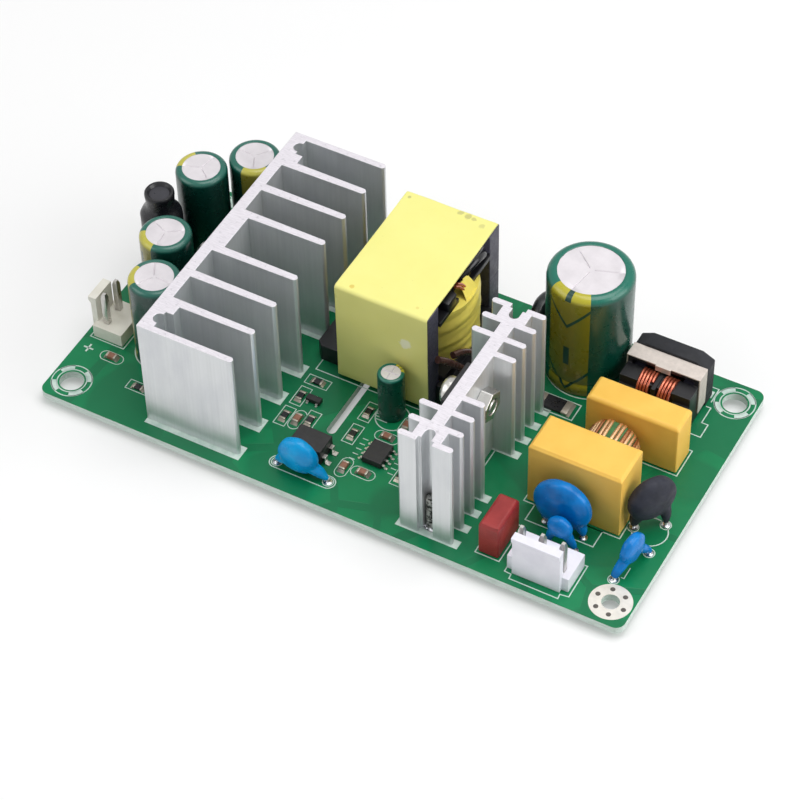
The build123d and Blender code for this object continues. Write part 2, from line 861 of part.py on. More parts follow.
def choke_cover(core):
    """Rear cover over the core's back leg, with bevelled top corners."""
    y0 = choke_y - choke_cover_depth
    bevel = choke_cover_chamfer
    top = choke_cover_height
    outline = [(0, 0), (choke_length, 0), (choke_length, top - bevel / 2), (choke_length - bevel, top),
               (bevel, top), (0, top - bevel / 2)]
    face = Plane.XZ * make_face(Polyline(*outline, close=True))
    body = Pos(choke_x, y0 + choke_cover_depth, 0) * extrude(face, choke_cover_depth)
    return body - core


def choke_pins():
    """Four pins under the former's base."""
    pins = []
    x0 = choke_x + choke_clip
    length = choke_length - 2 * choke_clip
    y0 = choke_front()
    for x in (x0 + choke_flange / 2, x0 + length - choke_flange / 2):
        for y in (y0 + choke_pin_inset, y0 + choke_bobbin_depth - choke_pin_inset):
            pins.append(lead(x, y, choke_pin, 0.0))
    return pins


def lens(diameter, thickness):
    """Coated disc with its axis along Z, many-sided, with both edges eased into flat crowns."""
    disc = extrude(RegularPolygon(diameter / 2, disc_sides), thickness / 2, both=True)
    edges = disc.edges().group_by(Axis.Z)
    return chamfer(edges[0] + edges[-1], thickness * disc_ease)


def coated_disc(x, y, z, diameter, thickness, turn, feet):
    """A disc standing on edge, turned about the vertical, on two leads bent down to the board."""
    body = Pos(x, y, z) * Rot(0, 0, turn) * Rot(90, 0, 0) * lens(diameter, thickness)
    radius = diameter / 2
    for foot_x, foot_y in feet:
        reach = hypot(foot_x, foot_y)
        bend = disc_lead_bend
        body += lead(x + foot_x, y + foot_y, wire, bend)
        heading = Rot(0, 0, degrees(atan2(foot_y, foot_x)))
        inner = min(reach, radius * disc_lead_drop)
        rise = z - radius * disc_lead_drop - bend
        run = reach - inner
        arm = Box(hypot(run, rise) + wire, wire, wire)
        arm = Pos((reach + inner) / 2, 0, bend + rise / 2) * Rot(0, degrees(atan2(rise, run)), 0) * arm
        body += Pos(x, y, 0) * heading * arm
    return body


def header_length(pins):
    """Length of a header's base for a number of pins."""
    return (pins - 1) * header_pitch + 2 * header_end_margin


def lock_wall(length, height):
    """Lock wall with a ridge along the top of its outer face, in a base whose outer side is on x = 0."""
    face = -header_wall_reach
    ridge = face - header_ridge
    under = height - header_ridge_height
    back = face + header_wall
    outline = [(face, 0), (back, 0), (back, height), (ridge, height), (ridge, under),
               (face, under - header_ridge_slope)]
    plan = Plane.XZ * make_face(Polyline(*outline, close=True))
    return Pos(0, length - header_wall_inset, 0) * extrude(plan, length - 2 * header_wall_inset)


def input_header(pins):
    """Three-pin housing: low base, and a lock wall along the front."""
    length = header_length(input_pins)
    body = block(input_header_x, header_front, 0, length, input_base_depth, input_base_height)
    place = Pos(input_header_x + length, header_front, 0) * Rot(0, 0, 90)
    body += place * lock_wall(length, input_wall_height)
    for pin in pins:
        body -= pin
    return body


def output_header(pins):
    """Two-pin housing: low base, and a lock wall along its outer side."""
    length = header_length(output_pins)
    y0 = output_header_y - header_end_margin
    body = block(output_header_x, y0, 0, output_base_depth, length, output_base_height)
    body += Pos(output_header_x, y0, 0) * lock_wall(length, output_wall_height)
    for pin in pins:
        body -= pin
    return body


def gull_wing(span, body_half, height, width):
    """One bent lead: foot on the board, rise, and shoulder into the body, along +X."""
    foot = span / 2
    sheet = lead_sheet
    knee = foot - (foot - body_half - sheet) * foot_share
    outline = [(foot, 0), (foot, sheet), (knee, sheet), (knee, height), (body_half, height),
               (body_half, height - sheet), (knee - sheet, height - sheet), (knee - sheet, 0)]
    face = Plane.XZ * make_face(Polyline(*outline, close=True))
    return Pos(0, width / 2, 0) * extrude(face, width)


def wing_rows(x, y, span, body_half, height, width, pitch, count):
    """Bent leads along both sides of a body."""
    wings = []
    for turn in (0, 180):
        for i in range(count):
            wing = Pos(0, (i - (count - 1) / 2) * pitch, 0) * gull_wing(span, body_half, height, width)
            wings.append(Pos(x, y, 0) * Rot(0, 0, turn) * wing)
    return wings


def chip_body(x, y, width, length, height):
    """Moulded body raised just clear of the board."""
    return block(x - width / 2, y - length / 2, body_lift, width, length, height - body_lift)


def small_block(x, y, turned, length, width, height):
    """A chip resistor or capacitor, along X or turned along Y."""
    if turned:
        return block(x - width / 2, y - length / 2, 0, width, length, height)
    return block(x - length / 2, y - width / 2, 0, length, width, height)


def circuit_board():
    """Board with rounded corners, mounting holes, isolation slot and every lead hole."""
    plan = Pos(board_length / 2, board_width / 2) * RectangleRounded(board_length, board_width, board_corner)
    for x in (hole_side_inset, board_length - hole_side_inset):
        for y in (hole_end_inset, board_width - hole_end_inset):
            earth = x > board_length / 2 and y < board_width / 2
            plan -= Pos(x, y) * Circle(earth_hole_radius if earth else hole_radius)
    slot_middle = (slot_front + slot_back) / 2
    plan -= Pos(slot_x, slot_middle) * Rot(0, 0, 90) * SlotOverall(slot_back - slot_front, slot_width)
    for x, y, size in lead_holes:
        plan -= Pos(x, y) * Rectangle(size, size)
    return Pos(0, 0, -board_thickness) * extrude(plan, board_thickness)


os.makedirs("parts", exist_ok=True)

save("output_heatsink", output_heatsink())
save("primary_heatsink", primary_heatsink())
save("heatsink_pins", *heatsink_pins())

rectifier_z = rectifier_lift + package_height - package_hole_drop
transistor_z = transistor_lift + package_height - package_hole_drop
transistor_y = primary_y + transistor_shift
save("output_rectifier", power_package(output_sink_x, sink_y, rectifier_lift))
save("rectifier_screw", screw(output_sink_x, sink_y, rectifier_z, package_tab + output_middle_plate))
save("switching_transistor", power_package(spine_x, transistor_y, transistor_lift))
save("transistor_screw",
     screw(spine_x, transistor_y, transistor_z, package_tab + primary_spine + nut_height))
save("transistor_nut", nut(spine_x + primary_spine, transistor_y, transistor_z))
save("bridge_rectifier", bridge_rectifier())

transformer_pins = [lead(x, y, transformer_pin, pin_embed) for x, y in pin_places()]
save("transformer_core_lower", core_half(False))
save("transformer_core_upper", core_half(True))
save("transformer_tape", tape_band())
save("transformer_bobbin", transformer_bobbin(transformer_pins))
save("transformer_winding", transformer_winding())
save("transformer_pins", *transformer_pins)

for number, (x, y) in enumerate(output_can_places, start=1):
    save(f"output_capacitor_{number}", can(x, y, output_can_diameter, output_can_height, output_can_pitch))
save("output_choke", output_choke())
save("bulk_capacitor", can(bulk_x, bulk_y, bulk_can_diameter, bulk_can_height, bulk_can_pitch))
save("auxiliary_capacitor",
     can(auxiliary_x, auxiliary_y, auxiliary_can_diameter, auxiliary_can_height, auxiliary_can_pitch))

save("front_line_capacitor",
     film_capacitor(line_x, film_front_y, film_front_length, film_front_width, film_front_height))
save("rear_line_capacitor",
     film_capacitor(film_rear_x, film_rear_y, film_rear_length, film_rear_width, film_rear_height))
save("fuse", fuse())
save("toroid_core", toroid_core())
save("toroid_winding", *toroid_winding())

filter_core = choke_core_ring()
save("filter_choke_core", filter_core)
save("filter_choke_bobbin", choke_bobbin(filter_core))
for name, coil in zip(("left", "right"), choke_coils()):
    save(f"filter_choke_coil_{name}", coil)
save("filter_choke_clip", choke_clip_strap())
save("filter_choke_cover", choke_cover(filter_core))
save("filter_choke_pins", *choke_pins())

save("varistor", coated_disc(varistor_x, varistor_y, varistor_z, varistor_diameter, varistor_thickness, 0,
                             varistor_feet))
save("line_disc_capacitor", coated_disc(line_disc_x, line_disc_y, line_disc_z, line_disc_diameter,
                                        line_disc_thickness, 0, line_disc_feet))
save("side_disc_capacitor", coated_disc(side_disc_x, side_disc_y, side_disc_z, side_disc_diameter,
                                        side_disc_thickness, side_disc_turn, side_disc_feet))
save("bridge_disc_capacitor", coated_disc(bridge_disc_x, bridge_disc_y, bridge_disc_z, bridge_disc_diameter,
                                          bridge_disc_thickness, 0, bridge_disc_feet))
save("inrush_thermistor", coated_disc(thermistor_x, thermistor_y, thermistor_z, thermistor_diameter,
                                      thermistor_thickness, thermistor_turn, thermistor_feet))
save("rear_disc_capacitor", coated_disc(rear_disc_x, rear_disc_y, rear_disc_z, rear_disc_diameter,
                                        rear_disc_thickness, 90, rear_disc_feet))

input_pins_made = [lead(input_header_x + header_end_margin + i * header_pitch, header_front + input_pin_inset,
                        header_pin, header_pin_height) for i in range(input_pins)]
save("input_header_housing", input_header(input_pins_made))
save("input_header_pins", *input_pins_made)
output_pins_made = [lead(output_header_x + output_pin_inset, output_header_y + i * header_pitch, header_pin,
                         header_pin_height) for i in range(output_pins)]
save("output_header_housing", output_header(output_pins_made))
save("output_header_pins", *output_pins_made)

save("controller_chip",
     chip_body(controller_x, controller_y, small_outline_width, small_outline_length, small_outline_height))
save("controller_leads", *wing_rows(controller_x, controller_y, small_outline_span, small_outline_width / 2,
                                    small_outline_height / 2, small_outline_lead, small_outline_pitch, 4))
save("optocoupler", chip_body(opto_x, opto_y, opto_width, opto_length, opto_height))
save("optocoupler_leads", *wing_rows(opto_x, opto_y, opto_span, opto_width / 2, opto_height / 2, opto_lead,
                                     opto_pitch, 2))
save("reference_chip",
     chip_body(reference_x, reference_y, reference_length, reference_width, reference_height))
reference_wing = gull_wing(reference_span, reference_width / 2, reference_lead_rise, small_outline_lead)
reference_leads = [Pos(reference_x + dx, reference_y, 0) * Rot(0, 0, turn) * reference_wing
                   for dx, turn in ((-reference_lead_offset, -90), (reference_lead_offset, -90), (0, 90))]
save("reference_leads", *reference_leads)

resistors = [small_block(x, y, True, chip_length, chip_width, chip_height) for x, y in turned_resistors]
resistors += [small_block(x, y, False, chip_length, chip_width, chip_height) for x, y in flat_resistors]
save("chip_resistors", *resistors)
capacitors = [small_block(x, y, True, chip_length, chip_width, chip_capacitor_height)
              for x, y in turned_capacitors]
capacitors += [small_block(x, y, False, chip_length, chip_width, chip_capacitor_height)
               for x, y in flat_capacitors]
save("chip_capacitors", *capacitors)
save("current_sense_resistor", small_block(sense_x, sense_y, False, sense_length, sense_width, sense_height))

save("circuit_board", circuit_board())
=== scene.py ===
from math import atan2, cos, hypot, pi, radians, sin

import bmesh
import bpy
from mathutils import Matrix, Quaternion, Vector, noise


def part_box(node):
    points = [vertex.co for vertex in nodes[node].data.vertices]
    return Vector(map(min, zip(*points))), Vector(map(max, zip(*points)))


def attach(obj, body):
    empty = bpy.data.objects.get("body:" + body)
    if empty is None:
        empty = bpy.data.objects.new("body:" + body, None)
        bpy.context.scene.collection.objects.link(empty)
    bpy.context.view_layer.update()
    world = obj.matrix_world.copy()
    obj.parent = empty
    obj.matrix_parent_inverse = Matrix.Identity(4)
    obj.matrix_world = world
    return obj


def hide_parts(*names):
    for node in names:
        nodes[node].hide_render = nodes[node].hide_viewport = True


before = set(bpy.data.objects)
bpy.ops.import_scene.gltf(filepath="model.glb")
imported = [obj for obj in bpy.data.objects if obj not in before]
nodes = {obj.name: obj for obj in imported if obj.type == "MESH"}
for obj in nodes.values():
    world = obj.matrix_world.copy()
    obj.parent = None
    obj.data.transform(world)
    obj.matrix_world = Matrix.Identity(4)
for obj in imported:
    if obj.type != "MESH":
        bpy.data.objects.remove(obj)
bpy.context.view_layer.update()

MM = 0.001
board_low, board_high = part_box("circuit_board")
BOARD_TO_FRAME = Matrix.Translation((board_low.x, board_low.y, board_high.z)) @ Matrix.Scale(MM, 4)
FRAME_TO_BOARD = BOARD_TO_FRAME.inverted()
BOARD_LENGTH = (board_high.x - board_low.x) / MM
BOARD_WIDTH = (board_high.y - board_low.y) / MM
BOARD_THICKNESS = (board_high.z - board_low.z) / MM
STUB_END = -board_high.z / MM


def extent(node):
    """Lowest and highest corner of a CAD node, in board millimetres."""
    low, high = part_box(node)
    return FRAME_TO_BOARD @ low, FRAME_TO_BOARD @ high


def srgb(red, green, blue):
    """A colour written as it looks on screen, 0 to 255, as linear numbers."""
    parts = [c / 255 for c in (red, green, blue)]
    return tuple(c / 12.92 if c <= 0.04045 else ((c + 0.055) / 1.055) ** 2.4 for c in parts)


class Finish:
    """A material with one Principled shader, whose patterns are sized in millimetres."""

    def __init__(self, name, colour, roughness, metallic=0.0, **sockets):
        self.material = bpy.data.materials.new(name)
        self.material.use_nodes = True
        self.tree = self.material.node_tree
        self.shader = self.tree.nodes["Principled BSDF"]
        self.shader.inputs["Base Color"].default_value = (*colour, 1)
        self.shader.inputs["Roughness"].default_value = roughness
        self.shader.inputs["Metallic"].default_value = metallic
        for socket, value in sockets.items():
            self.shader.inputs[socket.replace("_", " ")].default_value = value
        self.places = self.node("ShaderNodeTexCoord").outputs["Object"]
        self.material.diffuse_color = (*colour, 1)

    def node(self, kind, **settings):
        made = self.tree.nodes.new(kind)
        for key, value in settings.items():
            setattr(made, key, value)
        return made

    def put(self, source, target):
        """Feeds a socket from another socket, or sets it to a number or colour."""
        if isinstance(source, bpy.types.NodeSocket):
            self.tree.links.new(source, target)
        elif isinstance(source, tuple) and len(source) == 3 and target.type == "RGBA":
            target.default_value = (*source, 1)
        else:
            target.default_value = source

    def math(self, operation, a, b=0.0, c=0.0):
        made = self.node("ShaderNodeMath", operation=operation)
        for source, target in zip((a, b, c), made.inputs):
            self.put(source, target)
        return made.outputs[0]

    def noise(self, size, detail=3.0, stretch=(1, 1, 1), rough=0.5, where=None):
        """Smooth noise from 0 to 1, its features about size millimetres across."""
        mapping = self.node("ShaderNodeMapping")
        self.put(where or self.places, mapping.inputs["Vector"])
        mapping.inputs["Scale"].default_value = [1 / (MM * size * s) for s in stretch]
        made = self.node("ShaderNodeTexNoise")
        self.put(mapping.outputs[0], made.inputs["Vector"])
        made.inputs["Scale"].default_value = 1.0
        made.inputs["Detail"].default_value = detail
        made.inputs["Roughness"].default_value = rough
        return made.outputs["Fac"]

    def span(self, value, low, high, out_low=0.0, out_high=1.0, smooth=False):
        """Value carried from one range to another, held at its ends."""
        made = self.node("ShaderNodeMapRange", interpolation_type="SMOOTHSTEP" if smooth else "LINEAR")
        for source, target in zip((value, low, high, out_low, out_high), made.inputs):
            self.put(source, target)
        return made.outputs[0]

    def mix(self, factor, a, b):
        """Colour between a and b."""
        made = self.node("ShaderNodeMix", data_type="RGBA")
        self.put(factor, made.inputs["Factor"])
        self.put(a, made.inputs[6])
        self.put(b, made.inputs[7])
        return made.outputs[2]

    def blend(self, factor, a, b):
        """Number between a and b."""
        made = self.node("ShaderNodeMix")
        self.put(factor, made.inputs["Factor"])
        self.put(a, made.inputs[2])
        self.put(b, made.inputs[3])
        return made.outputs[0]

    def axis(self, which, where=None):
        made = self.node("ShaderNodeSeparateXYZ")
        self.put(where or self.places, made.inputs[0])
        return made.outputs[which]

    def facing_up(self):
        """The surface normal's share along Z."""
        return self.axis("Z", self.node("ShaderNodeNewGeometry").outputs["Normal"])

    def colour(self, source):
        self.put(source, self.shader.inputs["Base Color"])
        return self

    def rough(self, source):
        self.put(source, self.shader.inputs["Roughness"])
        return self

    def bump(self, height, depth, strength=1.0):
        """Raises the surface by height times depth millimetres."""
        made = self.node("ShaderNodeBump")
        made.inputs["Distance"].default_value = depth * MM
        made.inputs["Strength"].default_value = strength
        self.put(height, made.inputs["Height"])
        earlier = self.shader.inputs["Normal"]
        if earlier.is_linked:
            self.put(earlier.links[0].from_socket, made.inputs["Normal"])
        self.put(made.outputs[0], earlier)
        return self

    def tin_below(self, level, colour):
        """Leads under a body: tinned metal below a height above the board, in millimetres."""
        lead = self.math("LESS_THAN", self.axis("Z"), level * MM + board_high.z - 0.00002)
        for socket, tin in (("Base Color", TIN), ("Metallic", 1.0), ("Roughness", 0.32)):
            target = self.shader.inputs[socket]
            body = target.links[0].from_socket if target.is_linked else None
            if socket == "Base Color":
                self.put(self.mix(lead, body or colour, tin), target)
            else:
                self.put(self.blend(lead, body or target.default_value, tin), target)
        return self


TIN = srgb(206, 204, 200)


def plain(name, colour, other, roughness, metallic=0.0, patch=2.0, grain=0.15, grain_depth=0.01, **sockets):
    """A moulded, dipped or rolled surface: patchy colour, uneven gloss and a fine grain."""
    made = Finish(name, colour, roughness, metallic, **sockets)
    patches = made.span(made.noise(patch, 4), 0.35, 0.65)
    made.colour(made.mix(patches, colour, other))
    made.rough(made.span(made.noise(patch * 0.6, 5), 0.3, 0.7, roughness * 0.85, min(1.0, roughness * 1.2)))
    return made.bump(made.noise(grain, 3), grain_depth)


def solder_mask():
    """Green mask, lighter over copper, on the faces; pale laminate on cut edges and in holes."""
    green = srgb(6, 112, 70)
    over_copper = srgb(0, 138, 84)
    made = Finish("solder_mask", green, 0.34, Specular_IOR_Level=0.32)
    cells = made.node("ShaderNodeTexVoronoi", distance="CHEBYCHEV", feature="DISTANCE_TO_EDGE")
    made.put(made.places, cells.inputs["Vector"])
    cells.inputs["Scale"].default_value = 1 / (13.0 * MM)
    copper = made.span(cells.outputs["Distance"], 0.045, 0.055, smooth=True)
    pour = made.math("MULTIPLY", copper, made.span(made.noise(14.0, 1), 0.46, 0.50))
    cloud = made.span(made.noise(5.0, 3), 0.35, 0.65)
    face = made.mix(made.math("MULTIPLY", pour, 0.45), green, over_copper)
    face = made.mix(made.math("MULTIPLY", cloud, 0.15), face, srgb(2, 94, 58))
    weave = made.span(made.noise(0.35, 2, (6, 1, 1)), 0.3, 0.7)
    edge = made.mix(weave, srgb(188, 204, 194), srgb(212, 224, 218))
    flat = made.math("GREATER_THAN", made.math("ABSOLUTE", made.facing_up()), 0.5)
    made.colour(made.mix(flat, edge, face))
    made.rough(made.blend(flat, 0.75, made.span(made.noise(1.2, 3), 0.3, 0.7, 0.30, 0.40)))
    made.bump(pour, 0.03, 0.6)
    return made.bump(made.noise(0.6, 2), 0.002).material


def aluminium():
    """Mill-finish extrusion: die lines up the faces, sawn marks across the ends."""
    bright = srgb(222, 224, 226)
    made = Finish("mill_aluminium", bright, 0.4, 0.8)
    lines = made.noise(0.5, 5, (1, 1, 60), 0.6)
    fine = made.noise(0.1, 2, (1, 1, 200))
    stains = made.span(made.noise(5.0, 5, (1, 1, 2.5)), 0.42, 0.72)
    sawn = made.noise(0.16, 4, (9, 1, 1), 0.6)
    nicks = made.span(made.noise(0.7, 4), 0.60, 0.72)
    end = made.math("GREATER_THAN", made.math("ABSOLUTE", made.facing_up()), 0.7)
    side = made.mix(made.span(lines, 0.2, 0.8), srgb(208, 211, 212), bright)
    side = made.mix(made.math("MULTIPLY", stains, 0.4), side, srgb(188, 190, 198))
    cut = made.mix(made.span(sawn, 0.3, 0.7), srgb(206, 202, 208), srgb(228, 224, 230))
    cut = made.mix(made.math("MULTIPLY", nicks, 0.35), cut, srgb(150, 148, 154))
    made.colour(made.mix(end, side, cut))
    made.put(made.blend(end, 0.66, 0.35), made.shader.inputs["Metallic"])
    worn = made.math("MULTIPLY", stains, 0.16)
    made.rough(made.blend(end, made.math("ADD", made.span(lines, 0.3, 0.7, 0.30, 0.38), worn), 0.6))
    made.bump(made.math("MULTIPLY", lines, made.math("SUBTRACT", 1.0, end)), 0.003, 0.5)
    made.bump(made.math("MULTIPLY", fine, made.math("SUBTRACT", 1.0, end)), 0.002, 0.5)
    return made.bump(made.math("MULTIPLY", sawn, end), 0.02, 0.8).material


def tape(name, yellow, sheen_dark, marks=()):
    """Polyester tape with fine wrinkles and dust. A mark is a place, a radius, a colour and its strength."""
    made = Finish(name, yellow, 0.4, Specular_IOR_Level=0.4)
    made.shader.inputs["Subsurface Weight"].default_value = 0.08
    made.shader.inputs["Subsurface Radius"].default_value = (0.0010, 0.0008, 0.0002)
    clouds = made.span(made.noise(6.0, 4), 0.35, 0.7)
    creases = made.noise(1.3, 4, (1, 3, 0.5))
    specks = made.math("GREATER_THAN", made.noise(0.4, 1), 0.80)
    body = made.mix(made.math("MULTIPLY", clouds, 0.25), yellow, sheen_dark)
    body = made.mix(made.math("MULTIPLY", specks, 0.25), body, srgb(170, 160, 90))
    for place, radius, shade, strength in marks:
        away = made.node("ShaderNodeVectorMath", operation="DISTANCE")
        made.put(made.places, away.inputs[0])
        away.inputs[1].default_value = BOARD_TO_FRAME @ Vector(place)
        fray = made.math("MULTIPLY", made.noise(0.9, 5), radius * 1.5 * MM)
        ragged = made.math("ADD", away.outputs["Value"], fray)
        inside = made.span(ragged, radius * 1.4 * MM, radius * 1.9 * MM, strength, 0.0, smooth=True)
        body = made.mix(inside, body, shade)
    made.colour(body)
    made.rough(made.span(creases, 0.3, 0.7, 0.32, 0.48))
    made.bump(creases, 0.03, 0.4)
    return made.bump(made.noise(0.3, 3), 0.005, 0.4).material


def sleeve(name, colour, rim, stripe, half_stripe, bars):
    """Shrink sleeve on a can, lighter on its up-facing rim as painted light and with its stripe darker down
    the sides as painted shade. U runs once round it, V is the height over its diameter.
    """
    made = Finish(name, colour, 0.3, Specular_IOR_Level=0.45)
    made.shader.inputs["Coat Weight"].default_value = 0.25
    made.shader.inputs["Coat Roughness"].default_value = 0.15
    around = made.node("ShaderNodeUVMap").outputs[0]
    u = made.axis("X", around)
    v = made.axis("Y", around)
    off = made.math("ABSOLUTE", made.math("SUBTRACT", u, 0.5))
    in_stripe = made.math("LESS_THAN", off, half_stripe)
    bar_u = made.math("LESS_THAN", off, half_stripe * 0.14)
    step = made.math("FRACT", made.math("MULTIPLY", v, bars))
    bar_v = made.math("LESS_THAN", made.math("ABSOLUTE", made.math("SUBTRACT", step, 0.62)), 0.14)
    bar = made.math("MULTIPLY", bar_u, bar_v)
    lifted = made.math("ADD", step, made.math("MULTIPLY", off, -3.6))
    chevron = made.math("LESS_THAN", made.math("ABSOLUTE", made.math("SUBTRACT", lifted, 0.09)), 0.025)
    marks = made.math("MAXIMUM", bar, chevron)
    body = made.mix(made.math("MULTIPLY", made.noise(4.0, 3), 0.2), colour, rim)
    # painted light: surfaces facing up take the lighter rim colour, standing in for the lamp above lighting
    # the rolled rim
    body = made.mix(made.span(made.facing_up(), 0.05, 0.7), body, rim)
    # painted shade: down the side the stripe is a darker copy (0.42) of its colour, which shows at full
    # strength only where the sleeve faces up
    side = tuple(c * 0.42 for c in stripe)
    ink = made.mix(made.noise(2.0, 3), side, tuple(c * 0.85 for c in side))
    ink = made.mix(made.span(made.facing_up(), 0.02, 0.5), ink, stripe)
    body = made.mix(in_stripe, body, ink)
    made.colour(made.mix(made.math("MULTIPLY", marks, in_stripe), body, colour))
    made.rough(made.span(made.noise(1.6, 4), 0.3, 0.7, 0.24, 0.36))
    return made.bump(made.noise(2.2, 2, (1, 1, 2.5)), 0.02, 0.3).material


def ferrite():
    """Sintered ferrite: dark grey, matt, with a fine sparkle and ground faces."""
    grey = srgb(58, 57, 68)
    made = Finish("ferrite", grey, 0.5)
    grit = made.noise(0.12, 4)
    made.colour(made.mix(made.span(grit, 0.35, 0.7), srgb(50, 49, 60), srgb(84, 82, 100)))
    made.rough(made.span(made.noise(0.8, 5), 0.3, 0.7, 0.38, 0.62))
    return made.bump(grit, 0.02, 0.6).material


def copper(name, dark, light, patch=1.5):
    """Enamelled copper wire."""
    made = Finish(name, light, 0.26, 0.75)
    made.shader.inputs["Coat Weight"].default_value = 0.4
    made.shader.inputs["Coat Roughness"].default_value = 0.15
    made.colour(made.mix(made.span(made.noise(patch, 4), 0.3, 0.7), dark, light))
    return made.bump(made.noise(0.25, 2), 0.004).material


def metal(name, colour, roughness, patch=1.0, metallic=1.0, depth=0.004):
    """Tinned or plated metal with cloudy gloss."""
    made = Finish(name, colour, roughness, metallic)
    dull = tuple(c * 0.85 for c in colour)
    made.colour(made.mix(made.span(made.noise(patch, 4), 0.35, 0.75), colour, dull))
    made.rough(made.span(made.noise(patch * 0.5, 4), 0.3, 0.7, roughness * 0.85, roughness * 1.2))
    return made.bump(made.noise(patch * 0.5, 2), depth, 0.5).material


def staked_pin():
    """Pin pressed into a groove: lumps painted bright on the ridges as painted highlight and near black in
    the hollows as painted shade.
    """
    made = Finish("staked_pin", srgb(120, 120, 116), 0.35, 0.85)
    lumps = made.noise(0.9, 4, (1, 1, 0.8), 0.6)
    # painted shade and painted highlight: colour follows the bump height, near black in the hollows and
    # bright on the ridges
    made.colour(made.mix(made.span(lumps, 0.42, 0.56), srgb(24, 26, 24), srgb(178, 178, 174)))
    return made.bump(lumps, 0.5).material


def body_with_leads(name, colour, other, roughness, level, **extra):
    """A moulded body whose own leads are bare below a height."""
    return plain(name, colour, other, roughness, **extra).tin_below(level, colour).material


mask = solder_mask()
bare_aluminium = aluminium()
tin = metal("tinned_lead", TIN, 0.30, 2.0, 0.9)
pad_tin = metal("pad_tin", srgb(222, 218, 210), 0.45, 1.5, 0.5)
# painted shade: dark discs that stand in for the shadow inside the via holes
via_hole_painted_shade = plain("via_hole_painted_shade", srgb(70, 66, 62), srgb(92, 86, 80), 0.5, patch=0.5).material
chip_tin = metal("chip_tin", srgb(178, 170, 158), 0.42, 0.5, 0.7)
stake = staked_pin()
solder = metal("solder", srgb(200, 202, 206), 0.26, 0.8)
zinc = metal("zinc_plate", srgb(206, 204, 200), 0.3, 1.2)
clip_steel = metal("spring_steel", srgb(212, 202, 194), 0.5, 1.2, 0.45, 0.012)
can_top = metal("can_aluminium", srgb(222, 217, 221), 0.5, 3.0, 0.3)
ink = plain("silk_ink", srgb(206, 222, 214), srgb(180, 204, 194), 0.65, patch=1.2, grain=0.1).material
GLUE = srgb(248, 246, 212)
SMUDGE = srgb(150, 144, 96)
MARKS = (((61.4, 28.2, 16.0), 1.2, GLUE, 0.9), ((50.0, 29.6, 24.2), 0.5, srgb(214, 176, 60), 0.6),
         ((62.8, 30.4, 24.2), 0.35, srgb(214, 190, 90), 0.4), ((48.2, 54.2, 24.2), 0.35, SMUDGE, 0.5),
         ((58.4, 55.0, 24.2), 0.6, SMUDGE, 0.45), ((60.0, 54.7, 24.2), 0.7, SMUDGE, 0.5),
         ((61.3, 54.6, 24.2), 0.5, SMUDGE, 0.45), ((63.4, 53.6, 24.2), 0.6, SMUDGE, 0.3))
tape_yellow = tape("transformer_tape", srgb(238, 234, 144), srgb(230, 224, 126), MARKS)
winding_yellow = tape("winding_tape", srgb(238, 222, 104), srgb(206, 184, 66))
core_ferrite = ferrite()
copper_wire = copper("enamelled_copper", srgb(150, 66, 44), srgb(214, 122, 92))
# lit and shaded copies of the enamelled copper for the toroid: the pale one is painted light, the dark one
# painted shade
painted_lit_strand = copper("strand_painted_lit", srgb(220, 166, 118), srgb(246, 208, 166), 3.0)
painted_shade_strand = copper("strand_painted_shade", srgb(150, 92, 58), srgb(198, 138, 94), 3.0)
ring_coat = plain("ring_coat", srgb(60, 116, 60), srgb(44, 92, 44), 0.45, patch=1.5).material
black_moulding = plain("black_moulding", srgb(16, 16, 19), srgb(24, 24, 28), 0.36, patch=3.0,
                       grain=0.2).material
cover_moulding = plain("cover_moulding", srgb(28, 29, 33), srgb(36, 37, 42), 0.62, patch=3.0, grain=0.14,
                       grain_depth=0.015, Specular_IOR_Level=0.35).material
chip_epoxy = plain("chip_epoxy", srgb(26, 25, 27), srgb(34, 33, 35), 0.5, patch=1.5, grain=0.08,
                   grain_depth=0.008).material
NYLON_DEPTH = (0.0012, 0.0012, 0.0012)
white_nylon = plain("white_nylon", srgb(238, 237, 246), srgb(230, 229, 239), 0.38, patch=3.0, grain=0.3,
                    grain_depth=0.004, Subsurface_Weight=0.2, Subsurface_Radius=NYLON_DEPTH).material
cream_nylon = plain("cream_nylon", srgb(234, 232, 222), srgb(226, 223, 212), 0.38, patch=3.0, grain=0.3,
                    grain_depth=0.004, Subsurface_Weight=0.2, Subsurface_Radius=NYLON_DEPTH).material
disc_blue = plain("blue_coating", srgb(0, 124, 204), srgb(0, 106, 180), 0.24, patch=3.0, grain=1.4,
                  grain_depth=0.04, Specular_IOR_Level=0.28).material
disc_light_blue = plain("light_blue_coating", srgb(0, 160, 222), srgb(0, 140, 206), 0.24, patch=3.0,
                        grain=1.4, grain_depth=0.04, Specular_IOR_Level=0.28).material
disc_slate = plain("slate_coating", srgb(40, 42, 54), srgb(32, 34, 44), 0.6, patch=2.0, grain=0.5,
                   grain_depth=0.03, Specular_IOR_Level=0.35).material
disc_black = plain("black_coating", srgb(14, 24, 24), srgb(20, 30, 30), 0.28, patch=2.0, grain=0.9,
                   grain_depth=0.04).material
black_sleeve = plain("black_sleeve", srgb(16, 16, 20), srgb(26, 26, 31), 0.28, patch=2.5, grain=1.4,
                     grain_depth=0.05).material
drum_ferrite = plain("drum_ferrite", srgb(40, 40, 46), srgb(50, 50, 57), 0.3, patch=2.0, grain=0.4).material
rubber = plain("rubber_bung", srgb(30, 30, 30), srgb(40, 40, 40), 0.8).material
ceramic = plain("ceramic_body", srgb(150, 104, 84), srgb(130, 88, 70), 0.5, patch=0.8).material
resistor_glaze = plain("resistor_glaze", srgb(20, 20, 24), srgb(30, 30, 34), 0.3, patch=0.8).material
brown_sleeve = plain("brown_sleeve", srgb(96, 66, 58), srgb(70, 48, 44), 0.25, patch=1.0).material
